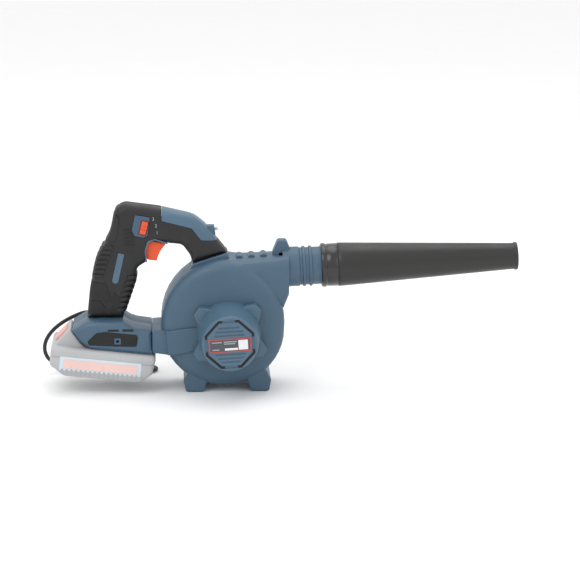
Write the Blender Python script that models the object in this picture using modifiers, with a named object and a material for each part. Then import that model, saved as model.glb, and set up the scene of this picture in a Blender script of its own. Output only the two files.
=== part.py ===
"""Cordless leaf blower: a clamshell fan housing with a side motor, a pistol handle, a tapered nozzle and a slide-on
battery. Metres, +Z up, nozzle towards +X, motor cover towards -Y. Everything is drawn in the motor's own frame, where
the shaft runs along Y through X = Z = 0, and the root empty then stands the blower on the ground."""

import math

import bmesh
import bpy
from mathutils import Matrix, Vector

# Clearances
GAP = 0.0003
SLIDE_GAP = 0.0005

# Fan housing
HOUSING_HALF = 0.034
HOUSING_ROUND = 0.012
WALL = 0.0025
SCROLL_RIGHT = 0.0625
SCROLL_BOTTOM = 0.0635
SCROLL_LEFT = 0.0755
SCROLL_TOP = 0.0805
FOOT_HEIGHT = 0.070
FOOT_HALF_DEPTH = 0.030
LEFT_FOOT_X = -0.0375
RIGHT_FOOT_X = 0.0340
FOOT_WIDTH = 0.0200
ARM_END = -0.0860

# Air path
AIR_TILT = math.radians(2.1)
AIR_Z = 0.0643
DUCT_TOP = 0.0830
NECK_RADIUS = 0.0212
NECK_WALL = 0.0030
NECK_BORE = NECK_RADIUS - NECK_WALL
NECK_END = 0.105
SPIGOT_END = 0.132
RIB_HEIGHT = 0.0016
RIB_RADIUS = NECK_RADIUS + RIB_HEIGHT
NECK_SHOULDER = 0.0800
RIB_PLACES = (0.0855, 0.0930)

# Nozzle
NOZZLE_LENGTH = 0.2225
NOZZLE_ROOT_RADIUS = 0.0247
NOZZLE_TIP_RADIUS = 0.0147
NOZZLE_WALL = 0.0022
COLLAR_LENGTH = 0.0190
BEAD_LENGTH = 0.0064

# Motor
MOTOR_RADIUS = 0.0215
MOTOR_FRONT = -0.0205
MOTOR_REAR = -0.0770
CAN_WALL = 0.0022
SHAFT_RADIUS = 0.0025
BEARING_RADIUS = 0.0080
ARMATURE_RADIUS = 0.0150
COMMUTATOR_RADIUS = 0.0060
COVER_BASE_RADIUS = 0.0362
COVER_FACE_RADIUS = 0.0300
COVER_FACE = -0.0860
COVER_WALL = 0.0024
COVER_TURN = math.radians(3.25)
LUG_REACH = 0.0440
LUG_ROOT = 0.0100
LUG_TIP = 0.0050
LUG_DEPTH = 0.0120
LUG_ANGLES = (40.25, 139.75, 211.25, 328.75)

# Impeller
IMPELLER_RADIUS = 0.0500
IMPELLER_BACK = -0.0125
IMPELLER_WIDTH = 0.0380
BLADE_COUNT = 9
BLADE_THICKNESS = 0.0016
INTAKE_RADIUS = 0.0330

# Screws
SCREW_HEAD = 0.0115
HOUSING_SCREWS = ((-0.0385, -0.0560), (0.0350, -0.0560), (-0.0780, -0.0110))

# Handle and trigger
SEAT_REAR = (-0.0395, 0.0745)
SEAT_FRONT = (-0.0010, 0.0868)
GRIP_FOOT = 0.0133
HANDLE_HALF = 0.0155
HANDLE_ROUND = 0.0075
HANDLE_WALL = 0.0026
TRIGGER_HALF = 0.0100
BEZEL_THICKNESS = 0.0016
TRIGGER_PLACE = (-0.0880, 0, 0.0900)
TRIGGER_TILT = math.radians(8.0)
HANDLE_SCREWS = ((-0.1190, 0.1270), (-0.1340, 0.0330))
ROCKER_PLACE = (-0.0934, 0.1166)
ROCKER_LEAN = math.radians(14.0)
ROCKER_PIVOT = -0.0135
LUG_AXIS = Vector((0.87, 0, 0.50))

# Base and battery
BASE_HALF = 0.0340
BASE_ROUND = 0.0060
BASE_FLOOR = 0.0006
PACK_ORIGIN = (-0.140, -0.0200)
PACK_TILT = math.radians(6.4)
PACK_FRONT = 0.0595
PACK_HALF = 0.0370
PACK_SEAM = -0.0105
PACK_WALL = 0.0022
PACK_ROUND = 0.0050
RAIL_HALF = 0.0215
RAIL_HEIGHT = 0.0120
CELL_RADIUS = 0.0091
CELL_LENGTH = 0.0650
CELL_COUNT = 5
CELL_PITCH = 2 * CELL_RADIUS + 0.0012
PACK_REAR = PACK_FRONT - CELL_COUNT * CELL_PITCH - 0.0213
PACK_DEPTH = 2 * CELL_RADIUS + 0.0145
SHOULDER_HALF = 0.0240
TERMINALS = (-0.0075, 0.0, 0.0075)
LATCH_PLACE = (-0.0492, 0.0088)
LATCH_LEAN = math.radians(51.0)
BASE_SCREWS = ((-0.1640, 0.0030), (-0.0898, -0.0060))

# Strap
STRAP_DIAMETER = 0.0045
STRAP_Y = 0.0395
STRAP_ENDS = (0.0064, -0.0004)

FORWARD = Vector((1, 0, 0))
SIDEWAYS = Vector((0, 1, 0))


def clear_scene():
    for thing in list(bpy.data.objects):
        bpy.data.objects.remove(thing)


def new_collection(name):
    made = bpy.data.collections.new(name)
    bpy.context.scene.collection.children.link(made)
    return made


def new_material(name, colour, roughness, metallic=0.0):
    made = bpy.data.materials.new(name)
    made.use_nodes = True
    shader = made.node_tree.nodes["Principled BSDF"]
    shader.inputs["Base Color"].default_value = (*colour, 1.0)
    shader.inputs["Roughness"].default_value = roughness
    shader.inputs["Metallic"].default_value = metallic
    return made


def new_empty(name, parent, place=(0, 0, 0), tilt=0.0):
    """A frame for other pieces, turned by tilt about Y."""
    made = bpy.data.objects.new(name, None)
    made.empty_display_size = 0.02
    made.location = place
    made.rotation_euler = (0, tilt, 0)
    made.parent = parent
    PARTS.objects.link(made)
    return made


def finished(name, source, frame, finish):
    """A named piece with the evaluated mesh of source, welded, facing out and in flat triangles. It replaces source."""
    bpy.context.view_layer.update()
    graph = bpy.context.evaluated_depsgraph_get()
    mesh = bpy.data.meshes.new_from_object(source.evaluated_get(graph))
    mesh.transform(source.matrix_basis)
    bpy.data.objects.remove(source)
    shape = bmesh.new()
    shape.from_mesh(mesh)
    bmesh.ops.remove_doubles(shape, verts=shape.verts, dist=1e-6)
    bmesh.ops.triangulate(shape, faces=shape.faces)
    bmesh.ops.recalc_face_normals(shape, faces=shape.faces)
    shape.to_mesh(mesh)
    shape.free()
    mesh.name = name
    mesh.materials.clear()
    mesh.materials.append(finish)
    mesh.shade_smooth()
    mesh.set_sharp_from_angle(angle=math.radians(35))
    piece = bpy.data.objects.new(name, mesh)
    piece.parent = frame
    PARTS.objects.link(piece)
    return piece


def hang(piece, joint):
    """Ties a piece drawn in the root's frame to a joint's own frame, where it is."""
    piece.parent = joint
    piece.matrix_parent_inverse = joint.matrix_basis.inverted()
    return piece


def prism(name, frame, finish, outline, low, high, rounding=0.0, inset=0.0, steps=2):
    """An outline in X and Z, as thick as low to high along Y, with its rims rounded inside the outline."""
    curve = bpy.data.curves.new(name, "CURVE")
    curve.dimensions = "2D"
    curve.fill_mode = "BOTH"
    curve.extrude = (high - low) / 2 - rounding
    curve.bevel_depth = rounding
    curve.bevel_resolution = steps
    curve.offset = -rounding - inset
    spline = curve.splines.new("POLY")
    spline.points.add(len(outline) - 1)
    for point, (x, z) in zip(spline.points, outline):
        point.co = (x, z, 0, 1)
    spline.use_cyclic_u = True
    source = bpy.data.objects.new(name, curve)
    PARTS.objects.link(source)
    source.location = (0, (low + high) / 2, 0)
    source.rotation_euler = (math.pi / 2, 0, 0)
    return finished(name, source, frame, finish)


def turned(name, frame, finish, profile, axis, centre=(0, 0, 0), steps=32):
    """A profile of (radius, distance along the axis) turned about an axis through centre."""
    mesh = bpy.data.meshes.new(name)
    closed = min(radius for radius, _ in profile) > 0
    edges = [(i, i + 1) for i in range(len(profile) - 1)]
    if closed:
        edges.append((len(profile) - 1, 0))
    mesh.from_pydata([(radius, 0, along) for radius, along in profile], edges, [])
    source = bpy.data.objects.new(name, mesh)
    PARTS.objects.link(source)
    screw = source.modifiers.new("turn", "SCREW")
    screw.steps = steps
    screw.render_steps = steps
    screw.use_merge_vertices = True
    screw.merge_threshold = 1e-5
    source.rotation_mode = "QUATERNION"
    source.rotation_quaternion = axis.to_track_quat("Z", "Y")
    source.location = centre
    return finished(name, source, frame, finish)


def rod(name, frame, finish, radius, low, high, axis=SIDEWAYS, centre=(0, 0, 0), steps=24):
    """A plain cylinder along an axis, from low to high."""
    profile = ((0, high), (radius, high), (radius, low), (0, low))
    return turned(name, frame, finish, profile, axis, centre, steps)


def tube(name, frame, finish, outer, inner, low, high, axis=SIDEWAYS, centre=(0, 0, 0), steps=24):
    """A cylinder with a hole down its middle."""
    profile = ((outer, high), (outer, low), (inner, low), (inner, high))
    return turned(name, frame, finish, profile, axis, centre, steps)


def box(name, frame, finish, low, high, bevel=0.0):
    """A block between two corners, with its edges rounded by bevel."""
    low, high = Vector(low), Vector(high)
    shape = bmesh.new()
    size = high - low
    place = Matrix.Translation((low + high) / 2) @ Matrix.Diagonal((*size, 1))
    bmesh.ops.create_cube(shape, size=1, matrix=place)
    if bevel:
        bmesh.ops.bevel(shape, geom=shape.edges, offset=bevel, segments=2, profile=0.5, affect="EDGES")
    mesh = bpy.data.meshes.new(name)
    shape.to_mesh(mesh)
    shape.free()
    source = bpy.data.objects.new(name, mesh)
    PARTS.objects.link(source)
    return finished(name, source, frame, finish)


def loft(name, frame, finish, rings):
    """A closed body through rings of equally many points, with flat ends."""
    shape = bmesh.new()
    rows = [[shape.verts.new(point) for point in ring] for ring in rings]
    for row, following in zip(rows, rows[1:]):
        for i, corner in enumerate(row):
            shape.faces.new((row[i - 1], corner, following[i], following[i - 1]))
    shape.faces.new(rows[0])
    shape.faces.new(rows[-1])
    mesh = bpy.data.meshes.new(name)
    shape.to_mesh(mesh)
    shape.free()
    source = bpy.data.objects.new(name, mesh)
    PARTS.objects.link(source)
    return finished(name, source, frame, finish)


def joined(name, pieces):
    """Several pieces that don't touch, as one mesh for a single Boolean."""
    shape = bmesh.new()
    for piece in pieces:
        shape.from_mesh(piece.data)
    mesh = bpy.data.meshes.new(name)
    shape.to_mesh(mesh)
    shape.free()
    made = bpy.data.objects.new(name, mesh)
    made.parent = pieces[0].parent
    PARTS.objects.link(made)
    for piece in pieces:
        bpy.data.objects.remove(piece)
    return made


def as_cutter(tool):
    if tool.name not in CUTTERS.objects:
        PARTS.objects.unlink(tool)
        CUTTERS.objects.link(tool)
    tool.hide_render = True
    tool.display_type = "WIRE"


def boolean(piece, operation, *tools):
    for tool in tools:
        modifier = piece.modifiers.new(f"{operation.lower()} {tool.name}", "BOOLEAN")
        modifier.operation = operation
        modifier.solver = "EXACT"
        modifier.object = tool
        as_cutter(tool)
    return piece


def cut(piece, *tools):
    return boolean(piece, "DIFFERENCE", *tools)


def fuse(piece, *tools):
    return boolean(piece, "UNION", *tools)


def keep_within(piece, tool):
    return boolean(piece, "INTERSECT", tool)


def twin(piece, name):
    """A second piece with the same mesh and the same modifiers."""
    made = piece.copy()
    made.name = name
    PARTS.objects.link(made)
    return made


def rounded(corners, steps=6):
    """An outline through corners of (x, z) or (x, z, radius), each radius turned as an arc that fits its sides."""
    outline = []
    for i, (x, z, *radii) in enumerate(corners):
        here = Vector((x, z))
        if not radii:
            outline.append(here)
            continue
        before = Vector(corners[i - 1][:2]) - here
        after = Vector(corners[(i + 1) % len(corners)][:2]) - here
        half = before.angle(after) / 2
        reach = min(radii[0] / math.tan(half), 0.49 * before.length, 0.49 * after.length)
        radius = reach * math.tan(half)
        centre = here + (before.normalized() + after.normalized()).normalized() * radius / math.sin(half)
        start = here + before.normalized() * reach - centre
        end = here + after.normalized() * reach - centre
        whole = math.atan2(start.x * end.y - start.y * end.x, start.dot(end))
        for step in range(steps + 1):
            outline.append(centre + Matrix.Rotation(whole * step / steps, 2) @ start)
    return outline


def smooth_route(points, steps):
    """A smooth curve through points, with steps points from each to the next."""
    ends = [points[0] * 2 - points[1], *points, points[-1] * 2 - points[-2]]
    route = []
    for a, b, c, d in zip(ends, ends[1:], ends[2:], ends[3:]):
        for step in range(steps):
            t = step / steps
            route.append((2 * b + (c - a) * t + (2 * a - 5 * b + 4 * c - d) * t**2
                          + (3 * b - a - 3 * c + d) * t**3) / 2)
    return [*route, points[-1]]


def scroll_radius(turn):
    """The scroll's radius at a number of quarter turns down from the right, on a curve through its four sizes."""
    sizes = (SCROLL_RIGHT, SCROLL_RIGHT, SCROLL_BOTTOM, SCROLL_LEFT, SCROLL_TOP, SCROLL_RIGHT, SCROLL_RIGHT)
    first = min(int(turn), 3)
    a, b, c, d = sizes[first : first + 4]
    t = turn - first
    return b + (t * (c - a) + t**2 * (2 * a - 5 * b + 4 * c - d) + t**3 * (3 * b - a - 3 * c + d)) / 2


def scroll_outline(count=44):
    turns = [4 * i / count for i in range(count)]
    radii = [scroll_radius(turn) for turn in turns]
    return [(r * math.cos(t * math.pi / 2), -r * math.sin(t * math.pi / 2)) for t, r in zip(turns, radii)]


def duct_ring(x, low, high, half, inset=0.0, count=24, squareness=0.45):
    """A rounded rectangle across the duct at x."""
    middle, reach, half = (low + high) / 2, (high - low) / 2 - inset, half - inset
    ring = []
    for i in range(count):
        turn = 2 * math.pi * i / count
        across, up = math.cos(turn), math.sin(turn)
        y = half * math.copysign(abs(across) ** squareness, across)
        ring.append((x, y, middle + reach * math.copysign(abs(up) ** squareness, up)))
    return ring


DUCT_SECTIONS = (
    (-0.020, 0.0400, 0.0780, 0.0290),
    (0.012, 0.0300, 0.0800, 0.0310),
    (0.045, 0.0240, 0.0815, 0.0300),
    (0.0620, 0.0225, DUCT_TOP, 0.0270),
    (0.0680, 0.0370, DUCT_TOP + 0.0003, 0.0255),
)


def fan_housing(root, air, blue):
    """The volute, duct, neck, feet and arm as one hollow body, cut into its two halves."""
    body = prism("housing_near", root, blue, scroll_outline(), -HOUSING_HALF, HOUSING_HALF, HOUSING_ROUND)
    duct = loft("duct", root, blue, [duct_ring(*section) for section in DUCT_SECTIONS])
    fuse(body, duct, handle_seat(root, blue), *feet(root, blue), *duct_details(root, blue), arm(root, blue))
    cavity = prism("volute_cavity", root, blue, scroll_outline(), -HOUSING_HALF + WALL, HOUSING_HALF - WALL,
                   HOUSING_ROUND - WALL, WALL, steps=1)
    rings = [duct_ring(x, low, high, half, WALL) for x, low, high, half in DUCT_SECTIONS]
    shift = -WALL
    rings[-1] = [(x + shift, y, z) for x, y, z in rings[-1]]
    duct_cavity = loft("duct_cavity", root, blue, rings)
    mouth = rod("duct_mouth", air, blue, (NECK_BORE + NECK_RADIUS) / 2, 0.058, 0.080, FORWARD, steps=20)
    motor_hole = rod("motor_hole", root, blue, MOTOR_RADIUS + SLIDE_GAP, -HOUSING_HALF - 0.006,
                     -HOUSING_HALF + 0.006, steps=30)
    intake_hole = rod("intake_hole", root, blue, INTAKE_RADIUS, HOUSING_HALF - 0.006, HOUSING_HALF + 0.006, steps=30)
    cut(body, cavity, duct_cavity, mouth, motor_hole, intake_hole)
    fuse(body, neck(air, blue), *cover_bosses(root, blue))
    cut(body, *cover_screw_holes(root, blue))
    cut(body, *[screw_hole(f"housing_hole_{i}", root, HOUSING_HALF, x, z)
                for i, (x, z) in enumerate(HOUSING_SCREWS)])
    for i, (x, z) in enumerate(HOUSING_SCREWS):
        screw(f"housing_screw_{i + 1}", root, x, z)
    return halves(body, "housing_far", root, blue, (-0.2, 0.4))


def neck(air, blue):
    """The ribbed neck and the plain spigot that the nozzle pushes onto."""
    profile = [(NECK_BORE, SPIGOT_END), (NECK_RADIUS, SPIGOT_END)]
    for x in reversed(RIB_PLACES):
        profile += [(NECK_RADIUS, x + 0.0019), (RIB_RADIUS, x + 0.0013)]
        profile += [(RIB_RADIUS, x - 0.0013), (NECK_RADIUS, x - 0.0019)]
    profile += [(NECK_RADIUS, NECK_SHOULDER + 0.0012), (NECK_RADIUS + 0.0012, NECK_SHOULDER)]
    profile += [(NECK_RADIUS + 0.0012, 0.0620), (NECK_BORE, 0.0620)]
    return turned("neck", air, blue, profile, FORWARD, steps=28)


def feet(root, blue):
    pieces = []
    for name, x, lean in (("foot_rear", LEFT_FOOT_X, -1), ("foot_front", RIGHT_FOOT_X, 1)):
        half = FOOT_WIDTH / 2
        outline = rounded((
            (x - half + lean * 0.001, -FOOT_HEIGHT, 0.002),
            (x + half + lean * 0.001, -FOOT_HEIGHT, 0.002),
            (x + half + 0.0035, -FOOT_HEIGHT + 0.0130, 0.002),
            (x + half - lean * 0.004, -0.042),
            (x - half - lean * 0.004, -0.042),
            (x - half - 0.0035, -FOOT_HEIGHT + 0.0130, 0.002),
        ), 1)
        pieces.append(prism(name, root, blue, outline, -FOOT_HALF_DEPTH, FOOT_HALF_DEPTH, 0.0012, steps=0))
    return pieces


def duct_details(root, blue):
    """The three small ribs and the tab along the duct's top, and the lug below its mouth."""
    pieces = []
    for i in range(3):
        x = 0.0130 + 0.0135 * i
        centre = (x, 0, 0.0785 + 0.0008 * i)
        pieces.append(rod(f"top_rib_{i}", root, blue, 0.0042, -0.010, 0.010, centre=centre, steps=12))
    tab = rounded((
        (0.0500, 0.0790), (0.0720, 0.0790), (0.0712, 0.0855), (0.0658, 0.0985, 0.002), (0.0560, 0.0985, 0.002),
        (0.0506, 0.0855),
    ), 1)
    pieces.append(prism("top_tab", root, blue, tab, -0.0075, 0.0075, 0.0012, steps=0))
    return pieces


def arm(root, blue):
    """The solid arm from the volute back to the base."""
    outline = rounded((
        (ARM_END, 0.0015), (-0.070, 0.0030), (-0.058, -0.0080), (-0.058, -0.0300), (-0.066, -0.0265, 0.004),
        (ARM_END, -0.0235),
    ), 2)
    return prism("arm", root, blue, outline, -0.0330, 0.0330, 0.0030, steps=1)


def lug_centre(angle, reach):
    turn = math.radians(angle) + COVER_TURN
    return Vector((reach * math.cos(turn), 0, reach * math.sin(turn)))


def cover_bosses(root, blue):
    pieces = []
    for i, angle in enumerate(LUG_ANGLES):
        centre = lug_centre(angle, LUG_REACH - 0.0050)
        pieces.append(rod(f"cover_boss_{i}", root, blue, 0.0040, -HOUSING_HALF + 0.0015, -HOUSING_HALF + 0.0100,
                          centre=centre, steps=10))
    return pieces


def cover_screw_holes(root, blue):
    pieces = []
    for i, angle in enumerate(LUG_ANGLES):
        centre = lug_centre(angle, LUG_REACH - 0.0050)
        pieces.append(rod(f"cover_screw_hole_{i}", root, blue, 0.0018, -HOUSING_HALF - 0.006, -HOUSING_HALF + 0.0080,
                          centre=centre, steps=8))
    return pieces


def handle_seat(root, blue):
    """The pedestal on the scroll that carries the handle's front foot."""
    (rear_x, rear_z), (front_x, front_z) = SEAT_REAR, SEAT_FRONT
    outline = (
        (rear_x - 0.0050, rear_z - 0.0090), (rear_x, rear_z), (front_x, front_z),
        (front_x + 0.0050, 0.0740), (-0.020, 0.0600),
    )
    return prism("handle_seat", root, blue, outline, -HANDLE_HALF - 0.001, HANDLE_HALF + 0.001, 0.001, steps=0)


def halves(body, far_name, root, finish, reach):
    """Splits a body at Y = 0. The body itself becomes its near half."""
    far = twin(body, far_name)
    low, high = reach
    near_block = box(f"{body.name}_block", root, finish, (low, -0.2, -0.3), (high, -GAP / 2, 0.3))
    far_block = box(f"{far_name}_block", root, finish, (low, GAP / 2, -0.3), (high, 0.2, 0.3))
    keep_within(body, near_block)
    keep_within(far, far_block)
    return body, far


def sector(inner, outer, start, end, steps=8):
    """The outline of a slice of a ring, between two angles in degrees up from +X."""
    turns = [math.radians(start + (end - start) * i / steps) for i in range(steps + 1)]
    far = [(outer * math.cos(turn), outer * math.sin(turn)) for turn in turns]
    near = [(inner * math.cos(turn), inner * math.sin(turn)) for turn in reversed(turns)]
    return far + near


def turned_outline(outline, angle):
    turn = Matrix.Rotation(angle, 2)
    return [turn @ Vector(point[:2]) for point in outline]


def motor_cover(root, blue):
    """The drafted can over the motor, with its air slots and four screw lugs."""
    back = -HOUSING_HALF - GAP
    draft = (COVER_BASE_RADIUS - COVER_FACE_RADIUS) / (COVER_FACE - back)
    profile = (
        (0, COVER_FACE + COVER_WALL), (COVER_FACE_RADIUS - COVER_WALL, COVER_FACE + COVER_WALL),
        (COVER_BASE_RADIUS - COVER_WALL, back), (COVER_BASE_RADIUS, back),
        (COVER_FACE_RADIUS - 0.003 * draft, COVER_FACE + 0.003),
        (COVER_FACE_RADIUS - 0.0025, COVER_FACE), (0, COVER_FACE),
    )
    cover = turned("motor_cover", root, blue, profile, SIDEWAYS, steps=44)
    lugs, holes = [], []
    for i, angle in enumerate(LUG_ANGLES):
        root_x = COVER_BASE_RADIUS - COVER_WALL + 0.0004
        outline = ((root_x, -LUG_ROOT), (LUG_REACH, -LUG_TIP), (LUG_REACH, LUG_TIP), (root_x, LUG_ROOT))
        outline = turned_outline(outline, math.radians(angle) + COVER_TURN)
        lugs.append(prism(f"lug_{i}", root, blue, outline, back - LUG_DEPTH, back))
        centre = lug_centre(angle, LUG_REACH - 0.0050)
        head = back - LUG_DEPTH
        profile = ((0, back + 0.001), (0.0019, back + 0.001), (0.0019, head + 0.0034), (0.0034, head + 0.0034),
                   (0.0034, head - 0.001), (0, head - 0.001))
        holes.append(turned(f"lug_hole_{i}", root, blue, profile, SIDEWAYS, centre, 12))
    slots = []
    for middle in (45, 135, 225, 315):
        outline = turned_outline(sector(0.0235, 0.0255, middle - 20, middle + 20, 3), COVER_TURN)
        slots.append(prism(f"air_slot_{middle}", root, blue, outline, COVER_FACE - 0.002, COVER_FACE + 0.006))
    fuse(cover, *lugs)
    cut(cover, *holes, *slots)
    plate = turned_outline(((-0.0225, -0.0072), (0.0225, -0.0072), (0.0225, 0.0072), (-0.0225, 0.0072)), COVER_TURN)
    prism("name_plate", root, PLATE, plate, COVER_FACE - GAP - 0.0006, COVER_FACE - GAP)
    for i, angle in enumerate(LUG_ANGLES):
        centre = lug_centre(angle, LUG_REACH - 0.0050)
        head = back - LUG_DEPTH + 0.0034 - GAP
        profile = ((0, -0.0270), (0.0015, -0.0270), (0.0015, head), (0.0030, head), (0.0030, head - 0.0022),
                   (0, head - 0.0022))
        turned(f"cover_screw_{i + 1}", root, STEEL, profile, SIDEWAYS, centre, 10)


def motor(root, rotor):
    """The can motor on the shaft's axis: the still pieces stay with the housing, the turning ones with the rotor."""
    inner = MOTOR_RADIUS - CAN_WALL
    front = MOTOR_FRONT - CAN_WALL
    tail = MOTOR_REAR + 0.0050
    bore = SHAFT_RADIUS + GAP
    can = ((MOTOR_RADIUS, MOTOR_FRONT), (MOTOR_RADIUS, tail), (inner, tail), (inner, front),
           (0.0040, front), (0.0040, MOTOR_FRONT))
    turned("motor_can", root, STEEL, can, SIDEWAYS, steps=28)
    tube("end_bell", root, BLACK, MOTOR_RADIUS, 0.0050, MOTOR_REAR, tail - GAP, steps=28)
    tube("rear_bush", root, BRASS, 0.0047, bore, MOTOR_REAR + 0.0005, tail - 0.0008, steps=14)
    tube("front_bearing", root, STEEL, BEARING_RADIUS, bore, front - 0.0053, front - GAP, steps=16)
    mount_back = -HOUSING_HALF - GAP
    tube("motor_mount", root, STEEL, 0.0310, MOTOR_RADIUS + GAP, mount_back - 0.0030, mount_back, steps=28)
    for name, start in (("magnet_upper", 25), ("magnet_lower", 205)):
        arc = sector(ARMATURE_RADIUS + 0.0006, inner - GAP, start, start + 130)
        prism(name, root, IRON, arc, tail + 0.0140, front - 0.0080)
    low, high = tail + 0.0020, tail + 0.0070
    reach = (COMMUTATOR_RADIUS + GAP, inner - 0.0008)
    box("brush_front", root, IRON, (reach[0], low, -0.0022), (reach[1], high, 0.0022))
    box("brush_rear", root, IRON, (-reach[1], low, -0.0022), (-reach[0], high, 0.0022))
    rod("motor_shaft", rotor, STEEL, SHAFT_RADIUS, MOTOR_REAR + 0.0010, IMPELLER_BACK + 0.0310, steps=14)
    tube("armature", rotor, IRON, ARMATURE_RADIUS, bore, tail + 0.0130, front - 0.0090, steps=20)
    tube("commutator", rotor, BRASS, COMMUTATOR_RADIUS, bore, tail + 0.0005, tail + 0.0090, steps=16)


def impeller(rotor):
    """The back disc, hub and curved blades of the fan, and the nut that holds it on the shaft."""
    bore = SHAFT_RADIUS + GAP
    back, hub = IMPELLER_BACK, IMPELLER_BACK + 0.0250
    profile = ((bore, hub), (0.0080, hub), (0.0095, back + 0.0050), (0.0200, back + 0.0030),
               (IMPELLER_RADIUS, back + 0.0022), (IMPELLER_RADIUS, back), (bore, back))
    wheel = turned("impeller", rotor, IMPELLER, profile, SIDEWAYS, steps=30)
    blades = []
    for i in range(BLADE_COUNT):
        side = []
        for step in range(5):
            share = step / 4
            radius = 0.0200 + (IMPELLER_RADIUS - 0.0215) * share
            turn = 2 * math.pi * i / BLADE_COUNT + 0.75 * share**1.3
            side.append((radius, turn, BLADE_THICKNESS / 2 / radius))
        ahead = [(r * math.cos(t + w), r * math.sin(t + w)) for r, t, w in side]
        behind = [(r * math.cos(t - w), r * math.sin(t - w)) for r, t, w in reversed(side)]
        blades.append(prism(f"blade_{i}", rotor, IMPELLER, ahead + behind, back + 0.0008, back + IMPELLER_WIDTH))
    fuse(wheel, joined("blades", blades))
    flat = bore / math.cos(math.pi / 6)
    tube("impeller_nut", rotor, STEEL, 0.0058, flat, hub + GAP, hub + GAP + 0.0045, steps=6)


def intake_grille(root):
    """The round grille over the air intake on the far side."""
    inside, outside = HOUSING_HALF + GAP, HOUSING_HALF + 0.0030
    plug = INTAKE_RADIUS - GAP
    profile = ((0, outside), (INTAKE_RADIUS + 0.0030, outside), (INTAKE_RADIUS + 0.0050, outside - 0.0016),
               (INTAKE_RADIUS + 0.0050, inside), (plug, inside), (plug, inside - 0.0028),
               (plug - 0.0020, inside - 0.0028), (plug - 0.0020, inside), (0, inside))
    grille = turned("intake_grille", root, BLACK, profile, SIDEWAYS, steps=30)
    slots = []
    for i in range(-4, 5):
        z = 0.0062 * i
        half = math.sqrt((plug - 0.0040) ** 2 - (abs(z) + 0.0018) ** 2)
        slots.append(box(f"slot_{i}", root, BLACK, (-half, inside - 0.002, z - 0.0018), (half, 0.045, z + 0.0018)))
    cut(grille, joined("grille_slots", slots))


def nozzle(slide):
    """The tapered tube and the ring round its root. Both are turned about the air axis."""
    tip = NECK_END + NOZZLE_LENGTH
    socket = NECK_RADIUS + 0.0005
    sleeve = NOZZLE_ROOT_RADIUS - 0.0022
    shoulder = NECK_END + COLLAR_LENGTH + GAP
    profile = (
        (socket, NECK_END + GAP), (sleeve, NECK_END + GAP), (sleeve, shoulder), (NOZZLE_ROOT_RADIUS, shoulder + 0.0005),
        (NOZZLE_TIP_RADIUS, tip - 0.0035), (NOZZLE_TIP_RADIUS + 0.0009, tip - 0.0028),
        (NOZZLE_TIP_RADIUS + 0.0009, tip), (NOZZLE_TIP_RADIUS - NOZZLE_WALL, tip),
        (NOZZLE_ROOT_RADIUS - NOZZLE_WALL - 0.0015, SPIGOT_END + 0.0080), (socket, SPIGOT_END + 0.0010),
    )
    turned("nozzle", slide, NOZZLE, profile, FORWARD, steps=30)
    ring = sleeve + GAP
    collar = (
        (ring, NECK_END + GAP), (NOZZLE_ROOT_RADIUS - 0.0008, NECK_END + GAP), (NOZZLE_ROOT_RADIUS, NECK_END + 0.0012),
        (NOZZLE_ROOT_RADIUS, NECK_END + BEAD_LENGTH - 0.001), (NOZZLE_ROOT_RADIUS - 0.0007, NECK_END + BEAD_LENGTH),
        (NOZZLE_ROOT_RADIUS - 0.0003, shoulder - GAP), (ring, shoulder - GAP),
    )
    turned("nozzle_collar", slide, NOZZLE, collar, FORWARD, steps=30)


def handle_outline():
    (rear_x, rear_z), (front_x, front_z) = SEAT_REAR, SEAT_FRONT
    return rounded((
        (-0.1580, GRIP_FOOT), (-0.1540, 0.0470, 0.080), (-0.1460, 0.0830, 0.080), (-0.1305, 0.1100, 0.040),
        (-0.1250, 0.1370, 0.008), (-0.1150, 0.1428, 0.012), (-0.0770, 0.1375, 0.060), (-0.0375, 0.1280, 0.030),
        (-0.0250, 0.1175, 0.020), (-0.0105, 0.0990, 0.020), (front_x, front_z + GAP), (rear_x, rear_z + GAP),
        (-0.0425, 0.0840, 0.012), (-0.0510, 0.0960, 0.009), (-0.0670, 0.0975, 0.012), (-0.0790, 0.0985, 0.008),
        (-0.0905, 0.0770, 0.008), (-0.1015, 0.0700, 0.008), (-0.1035, 0.0560, 0.040), (-0.1115, 0.0330, 0.040),
        (-0.1180, GRIP_FOOT),
    ), 4)


def cover_region(reach=0.0):
    """The part of the handle's top that the blue cover takes, larger by reach below."""
    return (
        (-0.0735 - reach, 0.160), (-0.0735 - reach, 0.1240 - reach), (-0.0400 - reach, 0.1150 - reach),
        (-0.0300 - reach, 0.1015 - reach), (-0.0050, 0.1005 - reach), (0.0100, 0.160),
    )


def slot_outline(reach=0.0):
    """The side view of the trigger's slot in the handle, smaller by reach on its closed sides."""
    return rounded((
        (-0.0915 + reach, 0.0700), (-0.0932 + reach, 0.0900), (-0.0900 + reach, 0.1015 - reach, 0.005),
        (-0.0815, 0.1042 - reach, 0.004), (-0.0662, 0.0990 - reach), (-0.0640, 0.0880), (-0.0700, 0.0700),
    ), 3)


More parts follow.
